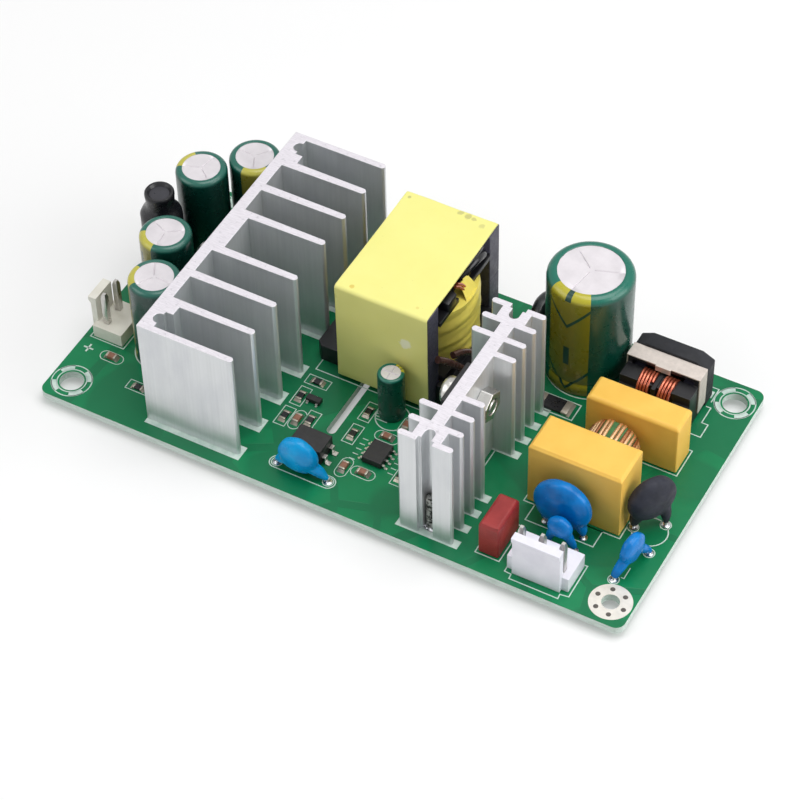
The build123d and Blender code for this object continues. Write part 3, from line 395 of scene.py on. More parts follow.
output_sleeve = sleeve("output_sleeve", srgb(2, 46, 38), srgb(20, 96, 82), srgb(184, 178, 70), 0.09, 1.0)
bulk_sleeve = sleeve("bulk_sleeve", srgb(4, 58, 46), srgb(0, 104, 86), srgb(178, 170, 40), 0.085, 1.0)
package_epoxy = body_with_leads("package_epoxy", srgb(22, 22, 25), srgb(32, 32, 35), 0.46, 3.0, patch=2.0)
raised_package_epoxy = body_with_leads("raised_package_epoxy", srgb(22, 22, 25), srgb(32, 32, 35), 0.46, 4.8,
                                       patch=2.0)
bridge_epoxy = body_with_leads("bridge_epoxy", srgb(22, 22, 24), srgb(30, 30, 33), 0.5, 0.8, patch=2.0)
film_amber = body_with_leads("film_amber", srgb(243, 197, 92), srgb(238, 188, 82), 0.42, 0.0, patch=6.0,
                             grain=0.5, Specular_IOR_Level=0.4, Subsurface_Weight=0.08,
                             Subsurface_Radius=(0.001, 0.0006, 0.0002))
fuse_maroon = body_with_leads("fuse_maroon", srgb(156, 50, 48), srgb(140, 40, 40), 0.42, 0.0, patch=3.0,
                              grain=0.25, grain_depth=0.04, Specular_IOR_Level=0.4)


def soften(node, material, width, segments=2):
    """Dresses a CAD node: eased edges and its material."""
    piece = nodes[node]
    if "custom_normal" in piece.data.attributes:
        piece.data.attributes.remove(piece.data.attributes["custom_normal"])
    piece.data.materials.clear()
    piece.data.materials.append(material)
    for polygon in piece.data.polygons:
        polygon.use_smooth = True
        polygon.material_index = 0
    weld = piece.modifiers.new("weld", "WELD")
    weld.merge_threshold = 0.002 * MM
    merge = piece.modifiers.new("merge", "DECIMATE")
    merge.decimate_type = "DISSOLVE"
    merge.angle_limit = radians(0.6)
    ease = piece.modifiers.new("ease", "BEVEL")
    ease.width = width * MM
    ease.segments = segments
    ease.limit_method = "ANGLE"
    ease.angle_limit = radians(35)
    ease.harden_normals = True


def skin(bm, rings, material=0, closed=True, start=True, end=True):
    """Joins rings of points into a surface, with flat ends."""
    rows = [[bm.verts.new(p) for p in ring] for ring in rings]
    count = len(rows[0])
    made = []
    for a, b in zip(rows, rows[1:]):
        for i in range(count if closed else count - 1):
            j = (i + 1) % count
            made.append(bm.faces.new((a[i], a[j], b[j], b[i])))
    if start:
        made.append(bm.faces.new(rows[0][::-1]))
    if end:
        made.append(bm.faces.new(rows[-1]))
    for face in made:
        face.material_index = material
    return rows


def lathe(bm, centre, profile, segments=48, material=0, wrap=None, start=True, end=True):
    """Turns a profile of (radius, height) pairs about a vertical axis. Wrap gives the UV scale."""
    centre = Vector(centre)
    rings = []
    for radius, z in profile:
        angles = [2 * pi * i / segments for i in range(segments)]
        rings.append([centre + Vector((radius * cos(a), radius * sin(a), z)) for a in angles])
    rows = skin(bm, rings, material, start=start, end=end)
    if wrap:
        around = bm.loops.layers.uv.verify()
        for k, row in enumerate(rows[:-1]):
            for i, vert in enumerate(row):
                j = (i + 1) % segments
                for face in vert.link_faces:
                    if rows[k][j] in face.verts and rows[k + 1][i] in face.verts:
                        for loop in face.loops:
                            far = loop.vert in (rows[k][j], rows[k + 1][j])
                            height = (loop.vert.co.z - centre.z) / wrap
                            loop[around].uv = ((i + far) / segments, height)
    return rows


def tube(bm, path, radius, sides=10, material=0, taper=None):
    """A round wire along a path. Taper gives each point its own radius."""
    path = [Vector(p) for p in path]
    ahead = (path[1] - path[0]).normalized()
    across = ahead.orthogonal().normalized()
    rings = []
    for i, point in enumerate(path):
        a = path[max(i - 1, 0)]
        b = path[min(i + 1, len(path) - 1)]
        turned = (b - a).normalized()
        across = (across - turned * across.dot(turned)).normalized()
        other = turned.cross(across)
        size = taper[i] if taper else radius
        spokes = [2 * pi * s / sides for s in range(sides)]
        rings.append([point + size * (across * cos(t) + other * sin(t)) for t in spokes])
    skin(bm, rings, material)


def curve(points, steps=8):
    """A smooth line through points."""
    points = [Vector(p) for p in points]
    padded = [2 * points[0] - points[1], *points, 2 * points[-1] - points[-2]]
    line = []
    for a, b, c, d in zip(padded, padded[1:], padded[2:], padded[3:]):
        for i in range(steps):
            t = i / steps
            line.append(0.5 * (2 * b + (c - a) * t + (2 * a - 5 * b + 4 * c - d) * t * t
                               + (3 * b - a - 3 * c + d) * t ** 3))
    return [*line, points[-1]]


def brick(bm, low, high, ease=0.0, segments=2, material=0):
    """A block between two corners, with rounded edges."""
    before = set(bm.faces)
    low, high = Vector(low), Vector(high)
    size = Matrix.Diagonal((*(high - low), 1))
    made = bmesh.ops.create_cube(bm, size=1.0, matrix=Matrix.Translation((low + high) / 2) @ size)
    if ease:
        edges = {edge for vert in made["verts"] for edge in vert.link_edges}
        bmesh.ops.bevel(bm, geom=list(edges), offset=ease, segments=segments, affect="EDGES", profile=0.5)
    for face in bm.faces:
        if face not in before:
            face.material_index = material


def deliver(bm, name, materials, replaces=(), sharp=38.0):
    """Sets a finished piece into the frame, riding on the module."""
    bmesh.ops.recalc_face_normals(bm, faces=bm.faces)
    for edge in bm.edges:
        edge.smooth = len(edge.link_faces) != 2 or edge.calc_face_angle() < radians(sharp)
    for face in bm.faces:
        face.smooth = True
    bm.transform(BOARD_TO_FRAME)
    mesh = bpy.data.meshes.new(name)
    bm.to_mesh(mesh)
    bm.free()
    for material in materials:
        mesh.materials.append(material)
    piece = bpy.data.objects.new(name, mesh)
    bpy.context.scene.collection.objects.link(piece)
    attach(piece, "root")
    if replaces:
        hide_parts(*replaces)
    return piece


def wire_lead(bm, x, y, top, size, material=1):
    """A round lead from its trimmed end up into a body."""
    tube(bm, [(x, y, STUB_END), (x, y, top)], size / 2, 12, material)


# Bare CAD nodes that keep their shape
for node, material, width in (
    ("output_heatsink", bare_aluminium, 0.12), ("primary_heatsink", bare_aluminium, 0.12),
    ("heatsink_pins", stake, 0.15), ("output_rectifier", package_epoxy, 0.2),
    ("switching_transistor", raised_package_epoxy, 0.2), ("transistor_nut", zinc, 0.2),
    ("bridge_rectifier", bridge_epoxy, 0.25), ("transformer_core_lower", core_ferrite, 0.25),
    ("transformer_core_upper", core_ferrite, 0.25), ("transformer_bobbin", black_moulding, 0.15),
    ("transformer_pins", tin, 0.12), ("front_line_capacitor", film_amber, 0.42),
    ("rear_line_capacitor", film_amber, 0.42), ("fuse", fuse_maroon, 0.3),
    ("toroid_core", ring_coat, 0.45), ("filter_choke_core", core_ferrite, 0.2),
    ("filter_choke_bobbin", black_moulding, 0.15), ("filter_choke_clip", clip_steel, 0.12),
    ("filter_choke_cover", cover_moulding, 0.3), ("filter_choke_pins", tin, 0.12),
    ("input_header_housing", white_nylon, 0.3), ("output_header_housing", cream_nylon, 0.3),
    ("controller_chip", chip_epoxy, 0.12), ("controller_leads", tin, 0.04),
    ("optocoupler", chip_epoxy, 0.18), ("optocoupler_leads", tin, 0.05),
    ("reference_chip", chip_epoxy, 0.1), ("reference_leads", tin, 0.04),
    ("circuit_board", mask, 0.04),
):
    soften(node, material, width, 3 if width > 0.4 else 2)


def vented_top(bm, centre, radius, z, groove_width, groove_depth, turn, arms, material):
    """A can's flat top, with pressed vent lines that meet in its middle."""
    rings = []
    for radius_here in [radius * k / 10 for k in range(1, 11)]:
        half = groove_width / 2 / radius_here
        ring = []
        for arm in range(arms):
            line = turn + 2 * pi * arm / arms
            for step, depth in ((-1, 0), (0, groove_depth), (1, 0)):
                ring.append((line + step * half, depth))
            for k in range(1, 6):
                gap = 2 * pi / arms - 2 * half
                ring.append((line + half + gap * k / 6, 0))
        reach = min(1.0, (radius - radius_here) / (0.12 * radius))
        rings.append([Vector((centre.x + radius_here * cos(a), centre.y + radius_here * sin(a),
                              z - d * reach)) for a, d in ring])
    skin(bm, rings, material, end=False)


def sleeved_can(node, pitch, rim, finish, stripe_turn, vent_turn, arms=3, crimp=2.2):
    """A can in its shrink sleeve: rolled rim, vented top, crimp above the bung, and two leads."""
    low, high = extent(node)
    centre = Vector(((low.x + high.x) / 2, (low.y + high.y) / 2, 0))
    radius = (high.x - low.x) / 2
    height = high.z
    roll = rim * 0.8
    profile = [(radius * 0.80, 0.12), (radius * 0.93, 0.0), (radius * 0.985, 0.12), (radius, 0.5),
               (radius, crimp - 0.7), (radius * 0.975, crimp - 0.25), (radius * 0.965, crimp),
               (radius * 0.975, crimp + 0.25), (radius, crimp + 0.7)]
    profile += [(radius, crimp + 0.7 + (height - roll - crimp - 0.7) * k / 6) for k in range(1, 7)]
    for k in range(1, 7):
        a = pi / 2 * k / 6
        profile.append((radius - roll * (1 - cos(a)), height - roll * (1 - sin(a))))
    profile += [(radius - rim * 0.94, height), (radius - rim, height - 0.06), (radius - rim, height - 0.3)]
    bm = bmesh.new()
    lathe(bm, centre, profile, 64, 0, wrap=2 * radius, end=False)
    turned = Matrix.Rotation(stripe_turn, 3, "Z")
    bmesh.ops.rotate(bm, verts=bm.verts, cent=centre, matrix=turned)
    vented_top(bm, centre, radius - rim + 0.05, height - 0.12, 0.30, 0.2, vent_turn, arms, 2)
    lathe(bm, centre, [(radius * 0.8, 0.1), (radius * 0.8, 0.6)], 48, 3)
    for side in (-1, 1):
        wire_lead(bm, centre.x + side * pitch / 2, centre.y, 0.5, 0.6)
    deliver(bm, node + "_dressed", [finish, tin, can_top, rubber], [node])


sleeved_can("output_capacitor_1", 5.0, 1.3, output_sleeve, radians(20), radians(0))
sleeved_can("output_capacitor_2", 5.0, 1.3, output_sleeve, radians(55), radians(35))
sleeved_can("output_capacitor_3", 5.0, 1.3, output_sleeve, radians(-10), radians(80))
sleeved_can("output_capacitor_4", 5.0, 1.3, output_sleeve, radians(120), radians(55))
sleeved_can("bulk_capacitor", 7.5, 1.9, bulk_sleeve, radians(85), radians(20), crimp=3.0)
sleeved_can("auxiliary_capacitor", 2.0, 0.7, bulk_sleeve, radians(-120), radians(0),
            arms=4, crimp=1.4)


def choke_drum():
    """Drum choke in a black shrink sleeve that draws in over the shoulder to a hollow top."""
    low, high = extent("output_choke")
    centre = Vector(((low.x + high.x) / 2, (low.y + high.y) / 2, 0))
    radius = (high.x - low.x) / 2
    top = high.z
    neck = radius * 0.70
    profile = [(radius * 0.8, 0.1), (radius * 0.96, 0.0), (radius, 0.5), (radius * 0.99, 5.0),
               (radius * 0.985, 9.0), (radius, 13.6), (radius * 0.985, 14.6), (radius * 0.93, 15.2),
               (radius * 0.82, 15.8), (neck * 1.03, 16.4), (neck * 0.97, 17.2), (neck * 0.97, 18.6),
               (neck, 19.3), (neck * 0.99, 19.75), (neck * 0.93, top), (neck * 0.80, top - 0.05),
               (neck * 0.72, top - 0.35), (neck * 0.66, top - 0.6)]
    bm = bmesh.new()
    rows = lathe(bm, centre, profile, 56, end=False)
    lathe(bm, centre, [(neck * 0.68, top - 0.62), (neck * 0.66, top - 0.55), (neck * 0.2, top - 0.5)], 40, 2,
          start=False)
    for row in rows:
        for vert in row:
            swell = 0.12 * (noise.noise(vert.co * 0.45) - 0.5)
            out = Vector((vert.co.x - centre.x, vert.co.y - centre.y, 0))
            if 1.0 < vert.co.z < 18.0:
                vert.co += out.normalized() * min(0.0, swell)
    for side in (-1, 1):
        wire_lead(bm, centre.x, centre.y + side * 2.5, 0.5, 0.6)
    deliver(bm, "output_choke_dressed", [black_sleeve, tin, drum_ferrite], ["output_choke"])


choke_drum()


def transformer_tape():
    """Tape wound over the core's top, ends and underside, with soft corners."""
    low, high = extent("transformer_tape")
    middle_y = (low.y + high.y) / 2
    middle_z = (low.z + high.z) / 2
    half_y = (high.y - low.y) / 2
    half_z = (high.z - low.z) / 2

    def loop(inset, corner):
        points = []
        for quarter, (sy, sz) in enumerate(((1, 1), (-1, 1), (-1, -1), (1, -1))):
            for k in range(7):
                a = pi / 2 * (quarter + k / 6)
                points.append((middle_y + sy * (half_y - inset - corner) + corner * cos(a),
                               middle_z + sz * (half_z - inset - corner) + corner * sin(a)))
        return points

    def refine(points, step):
        made = []
        for (y0, z0), (y1, z1) in zip(points, points[1:] + points[:1]):
            count = max(1, int(hypot(y1 - y0, z1 - z0) / step))
            made += [(y0 + (y1 - y0) * k / count, z0 + (z1 - z0) * k / count) for k in range(count)]
        return made

    outline = refine(loop(0.0, 0.75), 0.9)
    inner = 0.27
    bm = bmesh.new()
    rings = []
    edge = 0.06
    columns = 26
    for k in range(columns + 1):
        x = low.x + (high.x - low.x) * k / columns
        ring = []
        for y, z in outline:
            drop = 0.10 * noise.noise(Vector((x * 0.22, y * 0.16, z * 0.22))) + 0.10
            drop += edge if k in (0, columns) else 0.0
            out = Vector((0, middle_y - y, middle_z - z)).normalized()
            ring.append(Vector((x, y, z)) + out * min(drop, 0.24))
        rings.append(ring)
    skin(bm, rings, start=False, end=False)
    for x, face_out in ((low.x, -1), (high.x, 1)):
        lips = []
        for depth in (edge, inner):
            ring = []
            for y, z in outline:
                out = Vector((0, middle_y - y, middle_z - z)).normalized()
                ring.append(Vector((x, y, z)) + out * (depth + 0.12))
            lips.append(ring)
        skin(bm, lips, start=False, end=False)
    bmesh.ops.remove_doubles(bm, verts=bm.verts, dist=0.001)
    deliver(bm, "transformer_tape_dressed", [tape_yellow], ["transformer_tape"], sharp=60)


transformer_tape()


def oval(half_length, half_width, count):
    """Points round a slot-shaped outline: two half rounds and two straights."""
    straight = half_length - half_width
    points = []
    for i in range(count):
        a = 2 * pi * i / count
        x = half_width * cos(a) + (straight if cos(a) >= 0 else -straight)
        points.append((x, half_width * sin(a)))
    return points


def transformer_winding():
    """Taped winding: oval, barrelled, with creases that run round it."""
    low, high = extent("transformer_winding")
    middle = (low + high) / 2
    half_x = (high.x - low.x) / 2
    half_y = (high.y - low.y) / 2
    rings = []
    layers = 44
    for k in range(layers + 1):
        t = k / layers
        z = low.z + (high.z - low.z) * t
        barrel = 0.18 * (2 * t - 1) ** 4
        ring = []
        for x, y in oval(half_x, half_y, 120):
            slant = z * 0.55 - 0.16 * y * (1 if x > 0 else -1)
            crease = 0.42 * noise.noise(Vector((x * 0.05, y * 0.05, slant)))
            crease += 0.12 * noise.noise(Vector((x * 0.4, y * 0.3, z * 1.3 - 0.3 * y)))
            shrink = 1 - (barrel + 0.2 + crease) / half_x
            ring.append(Vector((middle.x + x * shrink, middle.y + y * min(shrink, 0.995), z)))
        rings.append(ring)
    bm = bmesh.new()
    skin(bm, rings)
    deliver(bm, "transformer_winding_dressed", [winding_yellow], ["transformer_winding"])


transformer_winding()


def transformer_leads():
    """Chunky lips of the bobbin in both windows, and the sleeved lead-outs and tape flap in the right one."""
    low, high = extent("transformer_core_lower")
    middle = (low.x + high.x) / 2
    plan = ((6.2, 35.6), (9.8, 35.6), (9.8, 38.6), (7.3, 40.3), (6.2, 40.3))
    bm = bmesh.new()
    for side in (1, -1):
        before = set(bm.edges)
        skin(bm, [[Vector((middle + side * x, y, z)) for x, y in plan] for z in (18.75, 21.7)])
        fresh = [edge for edge in bm.edges if edge not in before]
        bmesh.ops.bevel(bm, geom=fresh, offset=0.18, segments=2, affect="EDGES", profile=0.5)
    deliver(bm, "bobbin_lips", [black_moulding])
    bm = bmesh.new()
    for path, size in (([(64.4, 43.4, 20.5), (65.1, 44.9, 21.8), (65.6, 47.2, 22.3), (65.5, 49.4, 21.6),
                         (65.0, 50.8, 20.4)], 0.85),
                       ([(64.2, 43.0, 22.6), (65.0, 44.4, 23.0), (65.3, 46.6, 23.2), (65.2, 48.6, 23.1),
                         (64.8, 50.6, 22.4)], 0.6)):
        tube(bm, curve(path, 6), size, 12, 0)
    for path in ([(66.6, 30.6, 12.4), (67.6, 32.4, 10.6), (68.8, 35.2, 7.0), (69.4, 37.2, 3.6)],
                 [(67.6, 34.4, 10.4), (68.4, 37.0, 9.2), (69.3, 40.0, 6.4), (69.8, 42.2, 3.6)]):
        tube(bm, curve(path, 6), 0.7, 12, 1)
    for k in range(2):
        path = [(65.5, 39.3 + 0.75 * k, 22.6), (65.7, 40.6 + 0.75 * k, 21.4), (66.0, 41.8 + 0.75 * k, 19.6)]
        tube(bm, curve(path, 6), 0.33, 10, 2)
    deliver(bm, "lead_outs", [black_sleeve, brown_sleeve, copper_wire])
    bm = bmesh.new()
    rings = []
    for k in range(9):
        t = k / 8
        x = 67.5 - 2.0 * t ** 1.3
        z = 17.7 + 3.7 * t
        front = 39.9 + 1.5 * t
        back = 44.4 - 0.3 * t + 0.2 * sin(3 * t)
        wave = 0.10 * sin(5.0 * t + 0.7)
        across = [(front + (back - front) * i / 6, x + wave + 0.12 * sin(2.1 * i + 4 * t)) for i in range(7)]
        rings.append([Vector((a, y, z)) for y, a in across]
                     + [Vector((a - 0.12, y, z)) for y, a in reversed(across)])
    skin(bm, rings)
    deliver(bm, "tape_flap", [winding_yellow], sharp=60)


transformer_leads()


def pan_screw(node, head_radius, head_height, shank_radius):
    """Pan-head screw along X with a shallow dimple and a cross recess painted as dark bars of shade, a washer
    and a threaded end.
    """
    low, high = extent(node)
    y = (low.y + high.y) / 2
    z = (low.z + high.z) / 2
    length = high.x - low.x
    bm = bmesh.new()
    washer = 0.45
    dome = [(head_radius * 0.45, 0.0), (head_radius * 0.72, 0.12), (head_radius * 0.9, 0.45),
            (head_radius * 0.97, 0.9), (head_radius * 0.97, head_height - washer)]
    lathe(bm, (0, 0, 0), dome, 40)
    lathe(bm, (0, 0, 0), [(head_radius * 0.45, 0.0), (head_radius * 0.12, 0.7)], 40, end=True, start=False)
    lathe(bm, (0, 0, 0), [(head_radius * 0.97, head_height - washer),
                          (head_radius, head_height - washer + 0.05), (head_radius, head_height)], 40)
    shank = [(shank_radius * 0.98, head_height)]
    z_here = head_height
    while z_here < length - 0.7:
        shank += [(shank_radius * 0.86, z_here + 0.12), (shank_radius * 0.98, z_here + 0.35)]
        z_here += 0.5
    shank.append((shank_radius * 0.7, length))
    lathe(bm, (0, 0, 0), shank, 28)
    bm.transform(Matrix.Translation((low.x, y, z)) @ Matrix.Rotation(pi / 2, 4, "Y"))
    # painted shade: the cross recess is two thin bars in the black coating laid over the head's shallow
    # dimple
    for turn in (0, pi / 2):
        cut = Matrix.Translation((low.x + 0.02, y, z)) @ Matrix.Rotation(turn + 0.4, 4, "X")
        reach = head_radius * 0.62
        made = bmesh.ops.create_cube(bm, size=1.0, matrix=cut @ Matrix.Diagonal((0.1, 2 * reach, 0.5, 1)))
        for face in {f for v in made["verts"] for f in v.link_faces}:
            face.material_index = 1
    deliver(bm, node + "_dressed", [zinc, disc_black], [node])


pan_screw("rectifier_screw", 2.7, 2.0, 1.5)
pan_screw("transistor_screw", 2.7, 2.0, 1.5)


def dipped_disc(node, finish, centre, diameter, thickness, turn, feet, collar=0.7, voxel=0.2, leg=0.56):
    """A dipped disc on edge: a lens with a soft rim, drawn down its leads into thin collars."""
    centre = Vector(centre)
    radius = diameter / 2
    bm = bmesh.new()
    profile = []
    for k in range(1, 13):
        a = pi * k / 13
        rim = radius - thickness * 0.32
        fall = sin(a) ** 0.7
        profile.append((rim * min(1.0, fall * 1.05) + thickness * 0.32 * sin(a), -thickness / 2 * cos(a)))
    lathe(bm, (0, 0, 0), profile, 48)
    bm.transform(Matrix.Translation(centre) @ Matrix.Rotation(turn, 4, "Z") @ Matrix.Rotation(pi / 2, 4, "X"))
    along = Vector((cos(turn), sin(turn), 0))
    for foot in feet:
        foot = Vector((*foot, 0))
        side = 1 if (foot - centre).dot(along) > 0 else -1
        shoulder = centre + along * side * radius * 0.40 - Vector((0, 0, radius * 0.30))
        ankle = foot + Vector((0, 0, collar))
        knee = shoulder.lerp(ankle, 0.6) + along * side * radius * 0.07
        path = curve([shoulder, knee, ankle], 7)
        count = len(path)
        sizes = [thickness * 0.42 + (leg - thickness * 0.42) * min(1.0, 1.15 * k / count)
                 for k in range(count)]
        tube(bm, path, 0.5, 12, taper=sizes)
    mesh = bpy.data.meshes.new(node + "_form")
    bmesh.ops.recalc_face_normals(bm, faces=bm.faces)
    bm.to_mesh(mesh)
    bm.free()
    form = bpy.data.objects.new(node + "_form", mesh)
    bpy.context.scene.collection.objects.link(form)
    remesh = form.modifiers.new("remesh", "REMESH")
    remesh.mode = "VOXEL"
    remesh.voxel_size = voxel
    fused = bpy.data.meshes.new_from_object(form.evaluated_get(bpy.context.evaluated_depsgraph_get()))
    bpy.data.objects.remove(form)
    bm = bmesh.new()
    bm.from_mesh(fused)
    bpy.data.meshes.remove(fused)
    for _ in range(6):
        bmesh.ops.smooth_vert(bm, verts=bm.verts, factor=0.5, use_axis_x=True, use_axis_y=True,
                              use_axis_z=True)
    for vert in bm.verts:
        vert.co += vert.normal * 0.10 * noise.noise(vert.co * 0.55)
    for x, y in feet:
        wire_lead(bm, x, y, collar + 0.3, 0.6)
    deliver(bm, node + "_dressed", [finish, tin], [node], sharp=60)


line_x, _, _ = extent("front_line_capacitor")[0]
spine_x = extent("switching_transistor")[1].x
dipped_disc("varistor", disc_blue, (line_x + 8.3, 15.6, 6.3), 11.0, 4.0, 0,
            [(line_x + 5.2, 15.6), (line_x + 12.6, 15.3)])
dipped_disc("line_disc_capacitor", disc_blue, (line_x + 9.8, 11.6, 5.2), 4.7, 2.6, 0,
            [(line_x + 7.6, 11.6), (line_x + 12.5, 12.0)], voxel=0.15)
dipped_disc("side_disc_capacitor", disc_blue, (line_x + 22.7, 13.5, 4.9), 6.2, 2.6,
            radians(80), [(line_x + 21.3, 9.4), (line_x + 24.2, 17.5)], voxel=0.15, leg=0.72)
dipped_disc("bridge_disc_capacitor", disc_light_blue, (52.0, 5.4, 4.3), 7.8, 3.6, 0,
            [(47.4, 5.5), (57.8, 5.6)], voxel=0.15)
dipped_disc("inrush_thermistor", disc_slate, (line_x + 21.6, 23.4, 7.2), 9.4, 4.2, radians(58),
            [(line_x + 19.3, 21.5), (line_x + 24.1, 24.6)])
dipped_disc("rear_disc_capacitor", disc_black, (spine_x - 1.7, 54.5, 6.3), 9.0, 4.0,
            radians(90), [(spine_x - 1.7, 52.0), (spine_x - 1.7, 57.0)])


def toroid_winding():
    """Two fanned windings that all but cover the standing ring, pale strands as painted light and darker
    strands as painted shade side by side.
    """
    low, high = extent("toroid_core")
    centre = (low + high) / 2
    wire = 0.35
    outer = (high.x - low.x) / 2 + 0.08
    inner = outer - 2.9
    half = (high.y - low.y) / 2 + 0.14
    turns = 16
    steps = 28
    arc = radians(172)
    bm = bmesh.new()
    for side in (1, -1):
        for turn in range(turns):
            path = []
            deep = 0.5 if turn % 2 else 0.0
            for i in range(steps + 1):
                share = (turn + i / steps) / turns
                tilt = -arc / 2 + arc * share + 0.02 * sin(turn * 2.3)
                tilt = tilt if side > 0 else pi - tilt
                a = 2 * pi * i / steps - pi / 2
                across = half * (abs(cos(a)) ** 0.45) * (1 if cos(a) >= 0 else -1)
                reach = (outer - inner + deep) / 2
                rise = reach * (abs(sin(a)) ** 0.45) * (1 if sin(a) >= 0 else -1)
                radial = (outer + inner - deep) / 2 + rise
                path.append(centre + Vector((radial * cos(tilt), across, radial * sin(tilt))))
            # every third turn takes the darker copper as painted shade, the rest the pale copper as painted
            # light
            tube(bm, path, wire, 8, 1 if turn % 3 == 1 else 0)
        for near in (-1, 1):
            foot = Vector((centre.x + side * 1.9, centre.y + near * (half + 0.05), STUB_END))
            tube(bm, [foot, (foot.x, foot.y, 0.9), (foot.x + side * 0.6, foot.y, 2.2)], 0.28, 10, 2)
    deliver(bm, "toroid_winding_dressed", [painted_lit_strand, painted_shade_strand, tin],
            ["toroid_winding"], sharp=80)


toroid_winding()


def filter_coil(node, flip):
    """A short coil of enamelled wire in two layers round the former."""
    low, high = extent(node)
    y = (low.y + high.y) / 2
    z = (low.z + high.z) / 2
    radius = (high.y - low.y) / 2
    wire = 0.29
    bm = bmesh.new()
    for layer in range(2):
        turns = (high.x - low.x - 2 * wire) / (2.12 * wire)
        steps = 28
        path = []
        size = radius - wire - layer * 0.46
        for i in range(int(turns * steps) + 1):
            a = 2 * pi * i / steps * flip
            wobble = 0.04 * noise.noise(Vector((i * 0.13, layer, 0)))
            x = low.x + wire + (high.x - low.x - 2 * wire) * i / (turns * steps)
            path.append((x, y + (size + wobble) * cos(a), z + (size + wobble) * sin(a)))
        tube(bm, path, wire, 8)
    deliver(bm, node + "_dressed", [copper_wire], [node], sharp=80)


filter_coil("filter_choke_coil_left", 1)
filter_coil("filter_choke_coil_right", -1)


def header_pins(node):
    """Square header pins with tapered tips."""
    low, high = extent(node)
    pitch = 3.96
    across = min(high.x - low.x, high.y - low.y)
    along_x = high.x - low.x > high.y - low.y
    count = round((max(high.x - low.x, high.y - low.y) - across) / pitch) + 1
    bm = bmesh.new()
    for i in range(count):
        x = low.x + across / 2 + (i * pitch if along_x else 0)
        y = low.y + across / 2 + (0 if along_x else i * pitch)
        levels = ((0.62, STUB_END), (1.0, STUB_END + 0.5), (1.0, high.z - 1.0), (0.55, high.z))
        rings = []
        for share, z in levels:
            half = across / 2 * share
            rings.append([Vector((x + sx * half, y + sy * half, z))
                          for sx, sy in ((-1, -1), (1, -1), (1, 1), (-1, 1))])
        skin(bm, rings)
    long_edges = [e for e in bm.edges if abs(e.verts[0].co.z - e.verts[1].co.z) > 2]
    bmesh.ops.bevel(bm, geom=long_edges, offset=0.06, segments=2, affect="EDGES", profile=0.5)
    deliver(bm, node + "_dressed", [tin], [node])


header_pins("input_header_pins")
header_pins("output_header_pins")


def chip_part(bm, x, y, turned, length, width, height):
    """One surface-mounted chip: body, plated end caps and a fillet of solder at each end."""
    cap = length * 0.2
    half_length, half_width = length / 2, width / 2
    before = len(bm.verts)
    brick(bm, (-half_length + cap * 0.8, -half_width + 0.02, 0.03),
          (half_length - cap * 0.8, half_width - 0.02, height), 0.05, 1, 0)
    for side in (-1, 1):
        a, b = sorted((side * (half_length - cap), side * half_length))
        brick(bm, (a, -half_width, 0.02), (b, half_width, height + 0.02), 0.07, 2, 1)
        inner, outer = side * (half_length - 0.02), side * (half_length + 0.45)
        rings = []
        for y_here in (-half_width - 0.08, -half_width + 0.1, 0, half_width - 0.1, half_width + 0.08):
            share = 1.0 if abs(y_here) < half_width else 0.55
            top = height * 0.7 * share
            mid = (inner + outer) / 2
            rings.append([Vector((inner, y_here, 0.0)), Vector((outer, y_here, 0.0)),
                          Vector((mid + side * 0.08, y_here, top * 0.32)),
                          Vector((inner + side * 0.04, y_here, top))])
        skin(bm, rings, 2)
    bm.verts.ensure_lookup_table()
    place = Matrix.Translation((x, y, 0)) @ Matrix.Rotation(pi / 2 if turned else 0, 4, "Z")
    for vert in list(bm.verts)[before:]:
        vert.co = place @ vert.co


transformer_x = (extent("transformer_core_lower")[0].x + extent("transformer_core_lower")[1].x) / 2
resistors = [(transformer_x + dx, y, turned) for dx, y, turned in (
    (-12.0, 25.4, False), (-13.1, 21.0, True), (-13.3, 15.5, True), (-0.2, 17.4, True), (-0.2, 23.3, True),
    (-8.6, 16.6, True), (12.2, 12.6, True))]
resistors.append((16.0, 9.0, False))
bm = bmesh.new()
for x, y, turned in resistors:
    chip_part(bm, x, y, turned, 2.0, 1.25, 0.5)
deliver(bm, "chip_resistors_dressed", [resistor_glaze, chip_tin, chip_tin],
        ["chip_resistors"])
capacitors = [(transformer_x + dx, y, turned) for dx, y, turned in (
    (-10.8, 15.8, True), (5.6, 19.6, False), (2.2, 9.9, True), (5.9, 10.2, False), (7.5, 23.6, True))]
capacitors.append((7.6, 13.1, False))
bm = bmesh.new()
for x, y, turned in capacitors:
    chip_part(bm, x, y, turned, 2.0, 1.25, 0.8)
deliver(bm, "chip_capacitors_dressed", [ceramic, chip_tin, chip_tin], ["chip_capacitors"])
sense_low, sense_high = extent("current_sense_resistor")
bm = bmesh.new()
chip_part(bm, (sense_low.x + sense_high.x) / 2, (sense_low.y + sense_high.y) / 2, False, 6.3, 3.1, 0.6)
deliver(bm, "current_sense_resistor_dressed", [resistor_glaze, chip_tin, chip_tin],
        ["current_sense_resistor"])


